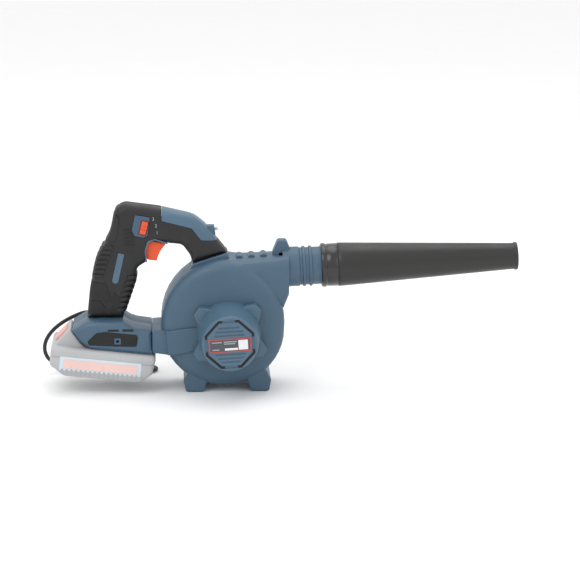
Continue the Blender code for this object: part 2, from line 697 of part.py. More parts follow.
def handle(root):
    """Two black half shells that carry the switch, with a blue cover over the front of the top."""
    low, high = -HANDLE_HALF, HANDLE_HALF
    shell = prism("handle_near", root, BLACK, handle_outline(), low, high, HANDLE_ROUND)
    cover = prism("handle_cover", root, BLUE, handle_outline(), low, high, HANDLE_ROUND)
    inner = HANDLE_HALF - HANDLE_WALL
    hollow = rounded((
        (-0.1500, 0.0190), (-0.1470, 0.0500), (-0.1390, 0.0830), (-0.1240, 0.1130), (-0.1190, 0.1325, 0.004),
        (-0.0780, 0.1320, 0.01), (-0.0420, 0.1235, 0.01), (-0.0300, 0.1130, 0.01), (-0.0230, 0.1040, 0.005),
        (-0.0400, 0.1030, 0.005), (-0.0600, 0.1065), (-0.0980, 0.1080), (-0.0990, 0.0800), (-0.1090, 0.0740, 0.004),
        (-0.1105, 0.0560), (-0.1175, 0.0330), (-0.1230, 0.0190),
    ), 2)
    cavity = prism("handle_cavity", root, BLACK, hollow, -inner, inner, 0.0020, steps=1)
    slot = prism("trigger_slot", root, BLACK, slot_outline(), -0.030, 0.030)
    passage = prism("trigger_passage", root, BLACK, ((-0.1075, 0.0790), (-0.1075, 0.1035), (-0.0880, 0.1035),
                    (-0.0880, 0.0790)), -TRIGGER_HALF - SLIDE_GAP, TRIGGER_HALF + SLIDE_GAP)
    under_cover = prism("under_cover", root, BLACK, cover_region(GAP), -0.030, 0.030)
    seats = [*switch_pockets(root)]
    for side in (-1, 1):
        deep, out = side * (HANDLE_HALF - 0.0010), side * 0.030
        outline = inlay_outline(GAP)
        seats.append(prism(f"inlay_seat_{side}", root, BLACK, outline, min(deep, out), max(deep, out)))
    cut(shell, cavity, slot, passage, under_cover, *seats)
    bosses = [rod(f"handle_boss_{i}", root, BLACK, 0.0042, -inner - 0.001, inner + 0.001, centre=(x, 0, z), steps=10)
              for i, (x, z) in enumerate(HANDLE_SCREWS)]
    fuse(shell, *bosses)
    cut(shell, *[screw_hole(f"handle_hole_{i}", root, HANDLE_HALF, x, z) for i, (x, z) in enumerate(HANDLE_SCREWS)])
    halves(shell, "handle_far", root, BLACK, (-0.2, 0.4))
    kept = prism("cover_block", root, BLUE, cover_region(), -0.030, 0.030)
    keep_within(cover, kept)
    lug = prism("eyelet_lug", root, BLUE, ((-0.0270, 0.1160), (-0.0150, 0.1160), (-0.0135, 0.1060), (-0.0190, 0.1020),
                (-0.0280, 0.1080)), -0.0045, 0.0045)
    under = prism("cover_hollow", root, BLUE, hollow, -inner, inner, 0.0020, steps=1)
    cut(cover, under)
    fuse(cover, lug)
    seat = Vector((-0.0146, 0, 0.1108))
    hole = rod("lug_screw_hole", root, BLUE, 0.0018, -0.0080, 0.0060, LUG_AXIS, seat, 10)
    cut(cover, hole)
    profile = ((0, 0.0042), (0.0026, 0.0036), (0.0030, 0.0022), (0.0015, 0.0022), (0.0015, -0.0070), (0, -0.0070))
    turned("lug_screw", root, STEEL, profile, LUG_AXIS, seat, 10)
    for i, (x, z) in enumerate(HANDLE_SCREWS):
        screw(f"handle_screw_{i + 1}", root, x, z)
    box("switch_module", root, BLACK, (-0.1215, -0.0085, 0.0800), (-0.1085, 0.0085, 0.1050), 0.001)


def screw_hole(name, root, surface, x, z):
    """A well from the far side and a pilot hole past Y = 0, for a screw that pulls two halves together."""
    profile = ((0, surface + 0.002), (0.0034, surface + 0.002), (0.0034, SCREW_HEAD), (0.0018, SCREW_HEAD),
               (0.0018, SCREW_HEAD - 0.0185), (0, SCREW_HEAD - 0.0185))
    return turned(name, root, BLACK, profile, SIDEWAYS, (x, 0, z), 10)


def screw(name, root, x, z):
    head = SCREW_HEAD + GAP
    profile = ((0, head + 0.0022), (0.0030, head + 0.0022), (0.0030, head), (0.0015, head),
               (0.0015, head - 0.0170), (0, head - 0.0170))
    turned(name, root, STEEL, profile, SIDEWAYS, (x, 0, z), 10)


def inlay_outline(reach=0.0):
    turn = Matrix.Rotation(math.radians(-13), 2)
    centre = Vector((-0.1228, 0.0703))
    half, length = 0.0035 + reach, 0.0175 + reach
    corners = ((-half, -length), (half, -length), (half, length), (-half, length))
    radii = (half * 0.95, half * 0.95, 0.0006, 0.0006)
    placed = [centre + turn @ Vector(corner) for corner in corners]
    return rounded([(*point, radius) for point, radius in zip(placed, radii)], 3)


def plate_outline(reach=0.0):
    corners = ((-0.1030, 0.1312), (-0.0865, 0.1283), (-0.0894, 0.1076), (-0.0938, 0.1054), (-0.1038, 0.1076),
               (-0.1067, 0.1142))
    middle = Vector((-0.0963, 0.1180))
    return rounded([(*(Vector(c) + (Vector(c) - middle).normalized() * reach), 0.0015) for c in corners], 3)


def rocker_outline(reach=0.0):
    turn = Matrix.Rotation(-ROCKER_LEAN, 2)
    half, length = 0.0036 + reach, 0.0075 + reach
    corners = ((-half, -length), (half, -length), (half, length), (-half, length))
    placed = [Vector(ROCKER_PLACE) + turn @ Vector(corner) for corner in corners]
    return rounded([(*point, 0.0010) for point in placed], 2)


def switch_pockets(root):
    """The recess under the switch plate and the well that the rocker tips in."""
    face = -HANDLE_HALF
    recess = prism("plate_recess", root, BLACK, plate_outline(GAP), face - 0.010, face + 0.0008)
    well = prism("rocker_well", root, BLACK, rocker_outline(0.0009), face - 0.010, face + 0.0060)
    return recess, well


def controls(root, trigger_slide, rocker_axis):
    """The trigger with its bezel, and the speed rocker on its plate."""
    outline = rounded((
        (-0.0940, 0.0815), (-0.0940, 0.0975), (-0.0845, 0.1002, 0.002), (-0.0685, 0.0972, 0.001), (-0.0725, 0.0925),
        (-0.0757, 0.0880), (-0.0780, 0.0830), (-0.0795, 0.0775, 0.0015), (-0.0880, 0.0785, 0.0015),
    ), 3)
    hang(prism("trigger", root, ORANGE, outline, -TRIGGER_HALF, TRIGGER_HALF, 0.0010, steps=1), trigger_slide)
    for name, low, high in (("bezel_near", -HANDLE_HALF - 0.0002, -TRIGGER_HALF - SLIDE_GAP),
                            ("bezel_far", TRIGGER_HALF + SLIDE_GAP, HANDLE_HALF + 0.0002)):
        rim = prism(name, root, BLUE, slot_outline(GAP), low, high)
        mouth = prism(f"{name}_mouth", root, BLUE, slot_outline(GAP + BEZEL_THICKNESS), low - 0.002, high + 0.002)
        under = prism(f"{name}_under", root, BLUE, ((-0.110, 0.060), (-0.060, 0.060), (-0.060, 0.0740),
                      (-0.0945, 0.0775), (-0.110, 0.0775)), low - 0.001, high + 0.001)
        front = prism(f"{name}_front", root, BLUE, ((-0.0670, 0.060), (-0.050, 0.060), (-0.050, 0.120),
                      (-0.0670, 0.120)), low - 0.001, high + 0.001)
        cut(rim, mouth, under, front)
    face = -HANDLE_HALF
    plate = prism("switch_plate", root, BLUE, plate_outline(), face - 0.0008, face + 0.0008 - GAP)
    cut(plate, prism("plate_window", root, BLUE, rocker_outline(0.0006), face - 0.005, face + 0.005))
    shape = prism("speed_rocker", root, ORANGE, rocker_outline(), face - 0.0022, face + 0.0035, 0.0006, steps=1)
    turn = Matrix.Rotation(-ROCKER_LEAN, 2)
    dip = Vector(ROCKER_PLACE)
    corners = ((-0.006, -0.0022), (0.006, -0.0022), (0.006, 0.0022), (-0.006, 0.0022))
    ends = [dip + turn @ Vector(corner) for corner in corners]
    tool = prism("rocker_dip", root, ORANGE, ends, face - 0.006, face - 0.0012)
    cut(hang(shape, rocker_axis), hang(tool, rocker_axis))
    for name, side in (("inlay_near", -1), ("inlay_far", 1)):
        deep, out = side * (HANDLE_HALF - 0.0010 + GAP), side * (HANDLE_HALF + 0.0003)
        prism(name, root, BLUE, inlay_outline(), min(deep, out), max(deep, out))


def pack_floor(x):
    """Height of the base's underside at x, on the pack's tilted top plane."""
    origin_x, origin_z = PACK_ORIGIN
    return origin_z - math.tan(PACK_TILT) * (x - origin_x) + BASE_FLOOR


def base(root, pack):
    """The two base halves that take the pack's rail, with their terminal block, side pads and screws."""
    front = ARM_END - GAP
    outline = rounded((
        (front, 0.0025), (-0.1080, 0.0060, 0.020), (-0.1180, GRIP_FOOT - GAP), (-0.1580, GRIP_FOOT - GAP),
        (-0.1750, 0.0030), (-0.1660, -0.0100), (-0.1560, pack_floor(-0.1560)), (front, pack_floor(front)),
    ), 3)
    shell = prism("base_near", root, BLUE, outline, -BASE_HALF, BASE_HALF, BASE_ROUND)
    flat = 0.0050
    edge = prism("base_floor", root, BLUE, (
        (front, pack_floor(front) + flat), (-0.1500, pack_floor(-0.1500) + flat), (-0.1500, pack_floor(-0.1500)),
        (front, pack_floor(front)),
    ), -BASE_HALF + 0.0030, BASE_HALF - 0.0030)
    boss = box("pad_boss", root, BLUE, (-0.1277, -BASE_HALF - 0.0012, -0.0120), (-0.1205, -BASE_HALF + 0.003, -0.0050))
    anchor = box("anchor_boss", root, BLUE, (-0.1500, BASE_HALF - 0.004, -0.0040), (-0.1370, STRAP_Y + 0.0045, 0.0100),
                 0.0012)
    fuse(shell, edge, boss, anchor)
    lip, top = 0.0057, RAIL_HEIGHT + 0.0006
    neck_slot = box("rail_neck_slot", pack, BLUE, (-0.060, -RAIL_HALF + 0.0030, -0.010),
                    (0.0400, RAIL_HALF - 0.0030, lip + 0.001))
    head_slot = box("rail_head_slot", pack, BLUE, (-0.060, -RAIL_HALF - SLIDE_GAP, lip), (0.0400, RAIL_HALF + SLIDE_GAP, top))
    hollow = ((-0.0180, top + 0.0022), (0.0440, top + 0.0022), (0.0440, 0.0235), (0.0180, 0.0300), (-0.0180, 0.0300))
    room = prism("terminal_room", pack, BLUE, hollow, -0.0270, 0.0270)
    window = box("terminal_window", pack, BLUE, (0.0150, -0.0120, top - 0.001), (0.0380, 0.0120, top + 0.003))
    hole = rod("pad_boss_hole", root, BLUE, 0.0020, -0.040, -BASE_HALF + 0.004, centre=(-0.1241, 0, -0.0085), steps=10)
    seats = []
    for side in (-1, 1):
        deep, out = side * (BASE_HALF - 0.0012), side * 0.060
        seats.append(prism(f"pad_seat_{side}", root, BLUE, pad_outline(GAP), min(deep, out), max(deep, out)))
    cut(seats[0], box("boss_room", root, BLUE, (-0.1277, -0.080, -0.0120), (-0.1205, -0.020, -0.0050)))
    cut(shell, neck_slot, head_slot, room, window, hole, *seats)
    cut(shell, *[screw_hole(f"base_hole_{i}", root, BASE_HALF, x, z) for i, (x, z) in enumerate(BASE_SCREWS)])
    strap_holes = [rod(f"strap_hole_{i}", root, BLUE, STRAP_DIAMETER / 2 + GAP, -0.1520, -0.1440, FORWARD,
                       (0, STRAP_Y, z), 10) for i, z in enumerate(STRAP_ENDS)]
    cut(shell, *strap_holes)
    halves(shell, "base_far", root, BLUE, (-0.3, front + 0.001))
    for i, (x, z) in enumerate(BASE_SCREWS):
        screw(f"base_screw_{i + 1}", root, x, z)
    block = box("terminal_block", pack, BLACK, (0.0160, -0.0110, top + 0.0030), (0.0370, 0.0110, 0.0220))
    blades = [box(f"blade_{y}", pack, BLACK, (0.0190, y - 0.0005, 0.0065), (0.0330, y + 0.0005, 0.0170))
              for y in TERMINALS]
    fuse(block, *blades)
    pad = prism("side_pad_near", root, RUBBER, pad_outline(), -BASE_HALF - 0.0008, -BASE_HALF + 0.0012 - GAP,
                0.0006, steps=1)
    cut(pad, box("pad_window", root, RUBBER, (-0.1280, -0.040, -0.0123), (-0.1202, -0.030, -0.0047)))
    prism("side_pad_far", root, RUBBER, pad_outline(), BASE_HALF - 0.0012 + GAP, BASE_HALF + 0.0008, 0.0006, steps=1)


def pad_outline(reach=0.0):
    corners = ((-0.1573, -0.0085), (-0.1472, 0.0010), (-0.1378, 0.0020), (-0.1033, -0.0017), (-0.1020, -0.0054),
               (-0.1035, -0.0150), (-0.1278, -0.0142), (-0.1560, -0.0128))
    middle = Vector((-0.1290, -0.0070))
    return rounded([(*(Vector(c) + (Vector(c) - middle).normalized() * reach), 0.0015) for c in corners], 3)


def battery(pack, latch):
    """The slide-on pack in its own tilted frame: X along the rail, Z up from the plane it meets the base on."""
    outline = rounded((
        (PACK_REAR, 0, 0.005), (PACK_REAR, -0.0220, 0.006), (PACK_REAR + 0.0168, -PACK_DEPTH, 0.006),
        (0.0440, -PACK_DEPTH, 0.006), (PACK_FRONT - 0.003, -0.0220, 0.006), (PACK_FRONT, 0, 0.005),
    ), 3)
    upper = prism("pack_upper", pack, PACK_GREY, outline, -PACK_HALF, PACK_HALF, PACK_ROUND)
    lower = prism("pack_lower", pack, PACK_GREY, outline, -PACK_HALF, PACK_HALF, PACK_ROUND)
    for case, low, high in ((upper, PACK_SEAM + GAP / 2, 0.1), (lower, -0.1, PACK_SEAM - GAP / 2)):
        block = box(f"{case.name}_block", pack, PACK_GREY, (-0.1, -0.1, low), (0.1, 0.1, high))
        keep_within(case, block)
    side = PACK_HALF - PACK_WALL
    room = box("cell_room", pack, PACK_GREY, (PACK_REAR + 0.0048, -side, -PACK_DEPTH + PACK_WALL), (0.0450, side, -PACK_WALL))
    cut(lower, room)
    shoulder = prism("shoulder", pack, PACK_GREY, rounded((
        (PACK_REAR + 0.002, -0.0030), (-0.0400, 0.0198, 0.0035), (-0.0370, 0.0160), (-0.0268, 0.0040), (-0.0200, -0.0010),
        (-0.0200, -0.0040),
    ), 3), -SHOULDER_HALF, SHOULDER_HALF, 0.0015, steps=2)
    rail_neck = box("rail_neck", pack, PACK_GREY, (-0.0290, -RAIL_HALF + 0.0035, -0.001), (0.0350, RAIL_HALF - 0.0035, 0.007))
    rail_head = box("rail_head", pack, PACK_GREY, (-0.0290, -RAIL_HALF, 0.0061), (0.0350, RAIL_HALF, RAIL_HEIGHT))
    cut(upper, room)
    fuse(upper, shoulder, rail_neck, rail_head)
    slots = [box(f"contact_slot_{y}", pack, PACK_GREY, (0.0120, y - 0.0013, 0.0040), (0.0400, y + 0.0013, 0.020))
             for y in TERMINALS]
    pocket = box("latch_pocket", latch, PACK_GREY, (-0.0094, -0.0114, -0.0070), (0.0094, 0.0114, 0.0100))
    hollow = box("rail_hollow", pack, PACK_GREY, (-0.0180, -0.0150, -0.0050), (0.0325, 0.0150, 0.0098))
    cut(upper, hollow, *slots, pocket)
    box("latch_button", latch, LATCH_RED, (-0.0090, -0.0110, -0.0042), (0.0090, 0.0110, 0.0012), 0.0008)
    for i in range(CELL_COUNT):
        x = PACK_REAR + 0.0057 + CELL_RADIUS + i * CELL_PITCH
        rod(f"cell_{i + 1}", pack, CELL_GREEN, CELL_RADIUS, -CELL_LENGTH / 2, CELL_LENGTH / 2, SIDEWAYS,
            (x, 0, -PACK_DEPTH + PACK_WALL + CELL_RADIUS + 0.0008), 16)
    for name, side in (("pack_label_near", -1), ("pack_label_far", 1)):
        near, far = side * (PACK_HALF + GAP), side * (PACK_HALF + GAP + 0.0005)
        box(name, pack, LABEL_RED, (-0.0430, min(near, far), -0.0222), (0.0390, max(near, far), -0.0125))


def strap(root):
    """The wrist cord: out of the anchor, down behind the pack, along the ground and back."""
    upper, lower = STRAP_ENDS
    route = (
        (-0.1503, STRAP_Y, upper), (-0.1600, STRAP_Y + 0.0002, upper + 0.0006), (-0.1710, 0.0405, 0.0040),
        (-0.1865, 0.0420, -0.0040), (-0.2000, 0.0440, -0.0150), (-0.2085, 0.0470, -0.0280), (-0.2105, 0.0510, -0.0410),
        (-0.2060, 0.0560, -0.0530), (-0.1945, 0.0610, -0.0618), (-0.1770, 0.0660, -0.0664), (-0.1540, 0.0705, -0.0675),
        (-0.1300, 0.0740, -0.0675), (-0.1060, 0.0750, -0.0675), (-0.0900, 0.0715, -0.0675), (-0.0825, 0.0625, -0.0675),
        (-0.0880, 0.0525, -0.0675), (-0.1040, 0.0480, -0.0675), (-0.1260, 0.0465, -0.0675), (-0.1470, 0.0460, -0.0660),
        (-0.1650, 0.0452, -0.0600), (-0.1790, 0.0445, -0.0490), (-0.1865, 0.0438, -0.0360), (-0.1870, 0.0430, -0.0230),
        (-0.1800, 0.0418, -0.0110), (-0.1690, 0.0402, -0.0030), (-0.1595, STRAP_Y + 0.0002, lower - 0.0006),
        (-0.1503, STRAP_Y, lower),
    )
    points = smooth_route([Vector(point) for point in route], 2)
    curve = bpy.data.curves.new("wrist_strap", "CURVE")
    curve.dimensions = "3D"
    curve.bevel_depth = STRAP_DIAMETER / 2
    curve.bevel_resolution = 1
    curve.use_fill_caps = True
    spline = curve.splines.new("POLY")
    spline.points.add(len(points) - 1)
    for point, place in zip(spline.points, points):
        point.co = (*place, 1)
    source = bpy.data.objects.new("wrist_strap", curve)
    PARTS.objects.link(source)
    return finished("wrist_strap", source, root, STRAP_BLACK)


def stand_on_ground(root, cord):
    """Moves the whole blower so that the middle of its underside, the cord apart, is at the world's origin."""
    bpy.context.view_layer.update()
    graph = bpy.context.evaluated_depsgraph_get()
    low, high = Vector((9, 9, 9)), Vector((-9, -9, -9))
    for piece in PARTS.objects:
        if piece.type != "MESH" or piece == cord:
            continue
        shape = piece.evaluated_get(graph)
        corners = {corner for face in shape.data.polygons for corner in face.vertices}
        for corner in corners:
            point = shape.matrix_world @ shape.data.vertices[corner].co
            low = Vector(map(min, low, point))
            high = Vector(map(max, high, point))
    root.location = (-(low.x + high.x) / 2, -(low.y + high.y) / 2, -low.z)


clear_scene()
PARTS = new_collection("leaf_blower")
CUTTERS = new_collection("cutters")
BLUE = new_material("steel_blue_plastic", (0.077, 0.145, 0.216), 0.5)
BLACK = new_material("black_plastic", (0.016, 0.016, 0.017), 0.55)
NOZZLE = new_material("nozzle_plastic", (0.028, 0.028, 0.027), 0.4)
ORANGE = new_material("orange_plastic", (0.74, 0.12, 0.03), 0.45)
RUBBER = new_material("black_rubber", (0.018, 0.018, 0.018), 0.75)
STEEL = new_material("steel", (0.55, 0.56, 0.57), 0.3, 1.0)
BRASS = new_material("bronze", (0.60, 0.38, 0.18), 0.35, 1.0)
IRON = new_material("dark_iron", (0.10, 0.10, 0.11), 0.5, 0.6)
IMPELLER = new_material("fan_plastic", (0.05, 0.05, 0.055), 0.5)
PLATE = new_material("name_plate_print", (0.36, 0.05, 0.04), 0.4)
PACK_GREY = new_material("pack_grey", (0.52, 0.52, 0.52), 0.5)
LATCH_RED = new_material("latch_red", (0.72, 0.36, 0.34), 0.5)
LABEL_RED = new_material("label_red", (0.75, 0.50, 0.47), 0.5)
CELL_GREEN = new_material("cell_wrap", (0.05, 0.25, 0.12), 0.4)
STRAP_BLACK = new_material("strap_cord", (0.015, 0.015, 0.017), 0.8)

ROOT = new_empty("blower_stand", None)
AIR = new_empty("air_axis", ROOT, (0, 0, AIR_Z), -AIR_TILT)
ROTOR = new_empty("rotor_axis", ROOT)
TRIGGER_SLIDE = new_empty("trigger_slide", ROOT, TRIGGER_PLACE, TRIGGER_TILT)
ROCKER_AXIS = new_empty("rocker_axis", ROOT, (ROCKER_PLACE[0], ROCKER_PIVOT, ROCKER_PLACE[1]), ROCKER_LEAN)
PACK = new_empty("pack_rail", ROOT, (PACK_ORIGIN[0], 0, PACK_ORIGIN[1]), PACK_TILT)
LATCH = new_empty("latch_axis", PACK, (LATCH_PLACE[0], 0, LATCH_PLACE[1]), -LATCH_LEAN)

fan_housing(ROOT, AIR, BLUE)
motor_cover(ROOT, BLUE)
motor(ROOT, ROTOR)
impeller(ROTOR)
intake_grille(ROOT)
nozzle(AIR)
handle(ROOT)
controls(ROOT, TRIGGER_SLIDE, ROCKER_AXIS)
base(ROOT, PACK)
battery(PACK, LATCH)
stand_on_ground(ROOT, strap(ROOT))
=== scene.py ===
import math
import bmesh
import bpy
from mathutils import Matrix, Vector


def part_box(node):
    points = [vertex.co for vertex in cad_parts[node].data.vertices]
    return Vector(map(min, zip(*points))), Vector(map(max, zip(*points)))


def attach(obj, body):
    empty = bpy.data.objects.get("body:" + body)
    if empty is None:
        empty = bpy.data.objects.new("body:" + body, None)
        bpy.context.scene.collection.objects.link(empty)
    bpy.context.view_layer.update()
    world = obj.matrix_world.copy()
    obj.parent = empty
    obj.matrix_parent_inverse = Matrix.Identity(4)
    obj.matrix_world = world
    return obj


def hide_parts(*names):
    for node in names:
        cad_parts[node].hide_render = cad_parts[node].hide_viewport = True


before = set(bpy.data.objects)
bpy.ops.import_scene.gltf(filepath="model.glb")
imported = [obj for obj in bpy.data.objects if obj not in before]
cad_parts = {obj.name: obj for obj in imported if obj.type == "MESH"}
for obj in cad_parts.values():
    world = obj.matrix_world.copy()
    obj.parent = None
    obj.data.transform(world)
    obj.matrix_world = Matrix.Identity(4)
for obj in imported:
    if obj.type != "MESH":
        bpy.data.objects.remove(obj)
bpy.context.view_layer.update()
print("frame loaded")

shaftLow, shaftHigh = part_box("motor_shaft")
motorCentre = Vector(((shaftLow.x + shaftHigh.x) / 2, 0, (shaftLow.z + shaftHigh.z) / 2))
motorCentre.y = (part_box("housing_near")[1].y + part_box("housing_far")[0].y) / 2   # where the two halves meet
sideways = Vector((0, 1, 0))
airTilt = math.radians(2.1)
airWay = Vector((math.cos(airTilt), 0, math.sin(airTilt)))
airStart = motorCentre + Vector((0, 0, 0.0643))
packTilt = math.radians(6.4)
coverTurn = math.radians(3.25)


def spot(x, y, z):
    return motorCentre + Vector((x, y, z))


def tint(red, green, blue):
    # screen values from 0 to 255 become the linear numbers that a shader takes
    return [((v / 255 + 0.055) / 1.055) ** 2.4 if v > 10 else v / 255 / 12.92 for v in (red, green, blue)]


def newShader(name, colour, roughness, metallic=0.0, coat=0.0, sheen=0.0):
    material = bpy.data.materials.new(name)
    material.use_nodes = True
    nodes, links = material.node_tree.nodes, material.node_tree.links
    shader = nodes["Principled BSDF"]
    shader.inputs["Base Color"].default_value = (*colour, 1)
    shader.inputs["Roughness"].default_value = roughness
    shader.inputs["Metallic"].default_value = metallic
    shader.inputs["Coat Weight"].default_value = coat
    shader.inputs["Coat Roughness"].default_value = 0.25
    shader.inputs["Sheen Weight"].default_value = sheen
    shader.inputs["Sheen Roughness"].default_value = 0.5
    material.diffuse_color = (*colour, 1)
    where = nodes.new("ShaderNodeTexCoord")
    return material, nodes, links, shader, where.outputs["Object"]


def addColourDrift(nodes, links, shader, where, colour, amount, scale=14):
    # the slow change in shade that moulded plastic and dye have
    noise = nodes.new("ShaderNodeTexNoise")
    noise.inputs["Scale"].default_value = scale
    noise.inputs["Detail"].default_value = 6
    links.new(where, noise.inputs["Vector"])
    ramp = nodes.new("ShaderNodeValToRGB")
    ramp.color_ramp.elements[0].position = 0.3
    ramp.color_ramp.elements[1].position = 0.7
    ramp.color_ramp.elements[0].color = (*[c * (1 - amount) for c in colour], 1)
    ramp.color_ramp.elements[1].color = (*[min(c * (1 + amount), 1) for c in colour], 1)
    links.new(noise.outputs["Fac"], ramp.inputs["Fac"])
    links.new(ramp.outputs["Color"], shader.inputs["Base Color"])
    return ramp


def addRoughDrift(nodes, links, shader, where, low, high, scale=60):
    noise = nodes.new("ShaderNodeTexNoise")
    noise.inputs["Scale"].default_value = scale
    noise.inputs["Detail"].default_value = 8
    links.new(where, noise.inputs["Vector"])
    spread = nodes.new("ShaderNodeMapRange")
    spread.inputs["From Min"].default_value = 0.3
    spread.inputs["From Max"].default_value = 0.7
    spread.inputs["To Min"].default_value = low
    spread.inputs["To Max"].default_value = high
    links.new(noise.outputs["Fac"], spread.inputs["Value"])
    links.new(spread.outputs["Result"], shader.inputs["Roughness"])


def addBump(nodes, links, shader, height, strength, depth):
    bump = nodes.new("ShaderNodeBump")
    bump.inputs["Strength"].default_value = strength
    bump.inputs["Distance"].default_value = depth
    links.new(height, bump.inputs["Height"])
    links.new(bump.outputs["Normal"], shader.inputs["Normal"])


def mouldedPlastic(name, colour, roughness=0.5, grain=1400, strength=0.12, drift=0.05, coat=0.0):
    # plastic from a spark-eroded tool: very fine grain, a little drift in shade and gloss
    material, nodes, links, shader, where = newShader(name, colour, roughness, coat=coat)
    addColourDrift(nodes, links, shader, where, colour, drift)
    addRoughDrift(nodes, links, shader, where, roughness - 0.06, roughness + 0.06)
    noise = nodes.new("ShaderNodeTexNoise")
    noise.inputs["Scale"].default_value = grain
    noise.inputs["Detail"].default_value = 3
    links.new(where, noise.inputs["Vector"])
    addBump(nodes, links, shader, noise.outputs["Fac"], strength, 0.0004)
    return material


def pebbledRubber(name, colour, roughness=0.72, scale=900, strength=0.5):
    # soft grip skin with small rounded pebbles
    material, nodes, links, shader, where = newShader(name, colour, roughness)
    addColourDrift(nodes, links, shader, where, colour, 0.12, 30)
    pebbles = nodes.new("ShaderNodeTexVoronoi")
    pebbles.feature = "SMOOTH_F1"
    pebbles.inputs["Scale"].default_value = scale
    links.new(where, pebbles.inputs["Vector"])
    addBump(nodes, links, shader, pebbles.outputs["Distance"], strength, 0.0004)
    return material


def brushedMetal(name, colour, roughness=0.32, across=(1, 60, 1)):
    material, nodes, links, shader, where = newShader(name, colour, roughness, metallic=1)
    stretch = nodes.new("ShaderNodeMapping")
    stretch.inputs["Scale"].default_value = across
    links.new(where, stretch.inputs["Vector"])
    streaks = nodes.new("ShaderNodeTexNoise")
    streaks.inputs["Scale"].default_value = 120
    streaks.inputs["Detail"].default_value = 6
    links.new(stretch.outputs["Vector"], streaks.inputs["Vector"])
    addRoughDrift(nodes, links, shader, stretch.outputs["Vector"], roughness - 0.08, roughness + 0.1, 90)
    addColourDrift(nodes, links, shader, where, colour, 0.06, 80)
    addBump(nodes, links, shader, streaks.outputs["Fac"], 0.08, 0.0003)
    return material


def braidedCord(name, colour):
    # two sets of slanting yarns that cross, with a faint sheen
    material, nodes, links, shader, where = newShader(name, colour, 0.8, sheen=0.3)
    crossed = nodes.new("ShaderNodeMath")
    crossed.operation = "MULTIPLY"
    for i, direction in enumerate(("X", "Y")):
        turn = nodes.new("ShaderNodeMapping")
        turn.inputs["Rotation"].default_value = (0.6, 0.5 - i, 0.8)
        links.new(where, turn.inputs["Vector"])
        yarn = nodes.new("ShaderNodeTexWave")
        yarn.bands_direction = direction
        yarn.inputs["Scale"].default_value = 260
        yarn.inputs["Distortion"].default_value = 0.6
        links.new(turn.outputs["Vector"], yarn.inputs["Vector"])
        links.new(yarn.outputs["Fac"], crossed.inputs[i])
    ramp = nodes.new("ShaderNodeValToRGB")
    ramp.color_ramp.elements[0].color = (*[c * 0.45 for c in colour], 1)
    ramp.color_ramp.elements[1].color = (*[c * 1.7 for c in colour], 1)
    links.new(crossed.outputs[0], ramp.inputs["Fac"])
    links.new(ramp.outputs["Color"], shader.inputs["Base Color"])
    addBump(nodes, links, shader, crossed.outputs[0], 0.8, 0.0006)
    return material


finishes = {
    "housingBlue": mouldedPlastic("housingBlue", tint(62, 89, 109), 0.46),
    "coverBlue": mouldedPlastic("coverBlue", tint(70, 98, 118), 0.42),
    "switchBlue": mouldedPlastic("switchBlue", tint(58, 83, 103), 0.42),
    "handleBlack": mouldedPlastic("handleBlack", tint(22, 22, 23), 0.52, 1100, 0.3),
    "gripBlack": pebbledRubber("gripBlack", tint(20, 20, 21), 0.66, 700, 0.55),
    "thumbTexture": pebbledRubber("thumbTexture", tint(26, 27, 28), 0.6, 420, 0.9),
    "nozzleBlack": mouldedPlastic("nozzleBlack", tint(32, 32, 31), 0.4, 1600, 0.07),
    "nozzleGloss": mouldedPlastic("nozzleGloss", tint(24, 24, 24), 0.24, 1600, 0.02, coat=0.3),
    "triggerOrange": mouldedPlastic("triggerOrange", tint(226, 80, 30), 0.42),
    "rockerOrange": mouldedPlastic("rockerOrange", tint(214, 76, 34), 0.36),
    "padRubber": pebbledRubber("padRubber", tint(20, 21, 22), 0.72, 1300, 0.35),
    "steel": brushedMetal("steel", tint(190, 191, 194)),
    "bronze": brushedMetal("bronze", tint(190, 150, 96), 0.36),
    "darkIron": brushedMetal("darkIron", tint(92, 93, 96), 0.45, (60, 1, 60)),
    "fanPlastic": mouldedPlastic("fanPlastic", tint(62, 63, 66), 0.5, 900, 0.2),
    "packGrey": mouldedPlastic("packGrey", tint(172, 173, 175), 0.48),
    "packRib": mouldedPlastic("packRib", tint(160, 162, 165), 0.5),
    "latchRed": mouldedPlastic("latchRed", tint(216, 160, 154), 0.44),
    "labelRed": mouldedPlastic("labelRed", tint(224, 188, 182), 0.3, 1600, 0.02, coat=0.3),
    "labelSurround": mouldedPlastic("labelSurround", tint(196, 208, 216), 0.4),
    "cellWrap": mouldedPlastic("cellWrap", tint(60, 140, 96), 0.3, 600, 0.04, coat=0.4),
    "strapCord": braidedCord("strapCord", tint(26, 26, 27)),
    # near-black finish: painted shade standing in for the dark depth of gaps, slots and vents
    "paintedShadeBlack": mouldedPlastic("paintedShadeBlack", tint(14, 14, 15), 0.7),
    "plateRed": mouldedPlastic("plateRed", tint(176, 58, 48), 0.34, 1600, 0.02, coat=0.3),
    "plateGrey": mouldedPlastic("plateGrey", tint(62, 66, 72), 0.34, 1600, 0.02, coat=0.3),
    "plateWhite": mouldedPlastic("plateWhite", tint(218, 220, 222), 0.34, 1600, 0.02, coat=0.3),
    "markGrey": mouldedPlastic("markGrey", tint(150, 156, 162), 0.4, 1600, 0.02),
}
print("finishes made")


studio = {"cameraTurn": -3.0, "cameraRise": 13.6, "cameraReach": 2.5, "lens": 137.4,
          "aim": (0.0702, 0, 0.046)}


def addAreaLight(name, place, aim, size, watts):
    lamp = bpy.data.lights.new(name, "AREA")
    lamp.shape = "DISK"
    lamp.size = size
    lamp.energy = watts
    holder = bpy.data.objects.new(name, lamp)
    holder.location = place
    holder.rotation_euler = (Vector(aim) - Vector(place)).to_track_quat("-Z", "Y").to_euler()
    bpy.context.scene.collection.objects.link(holder)


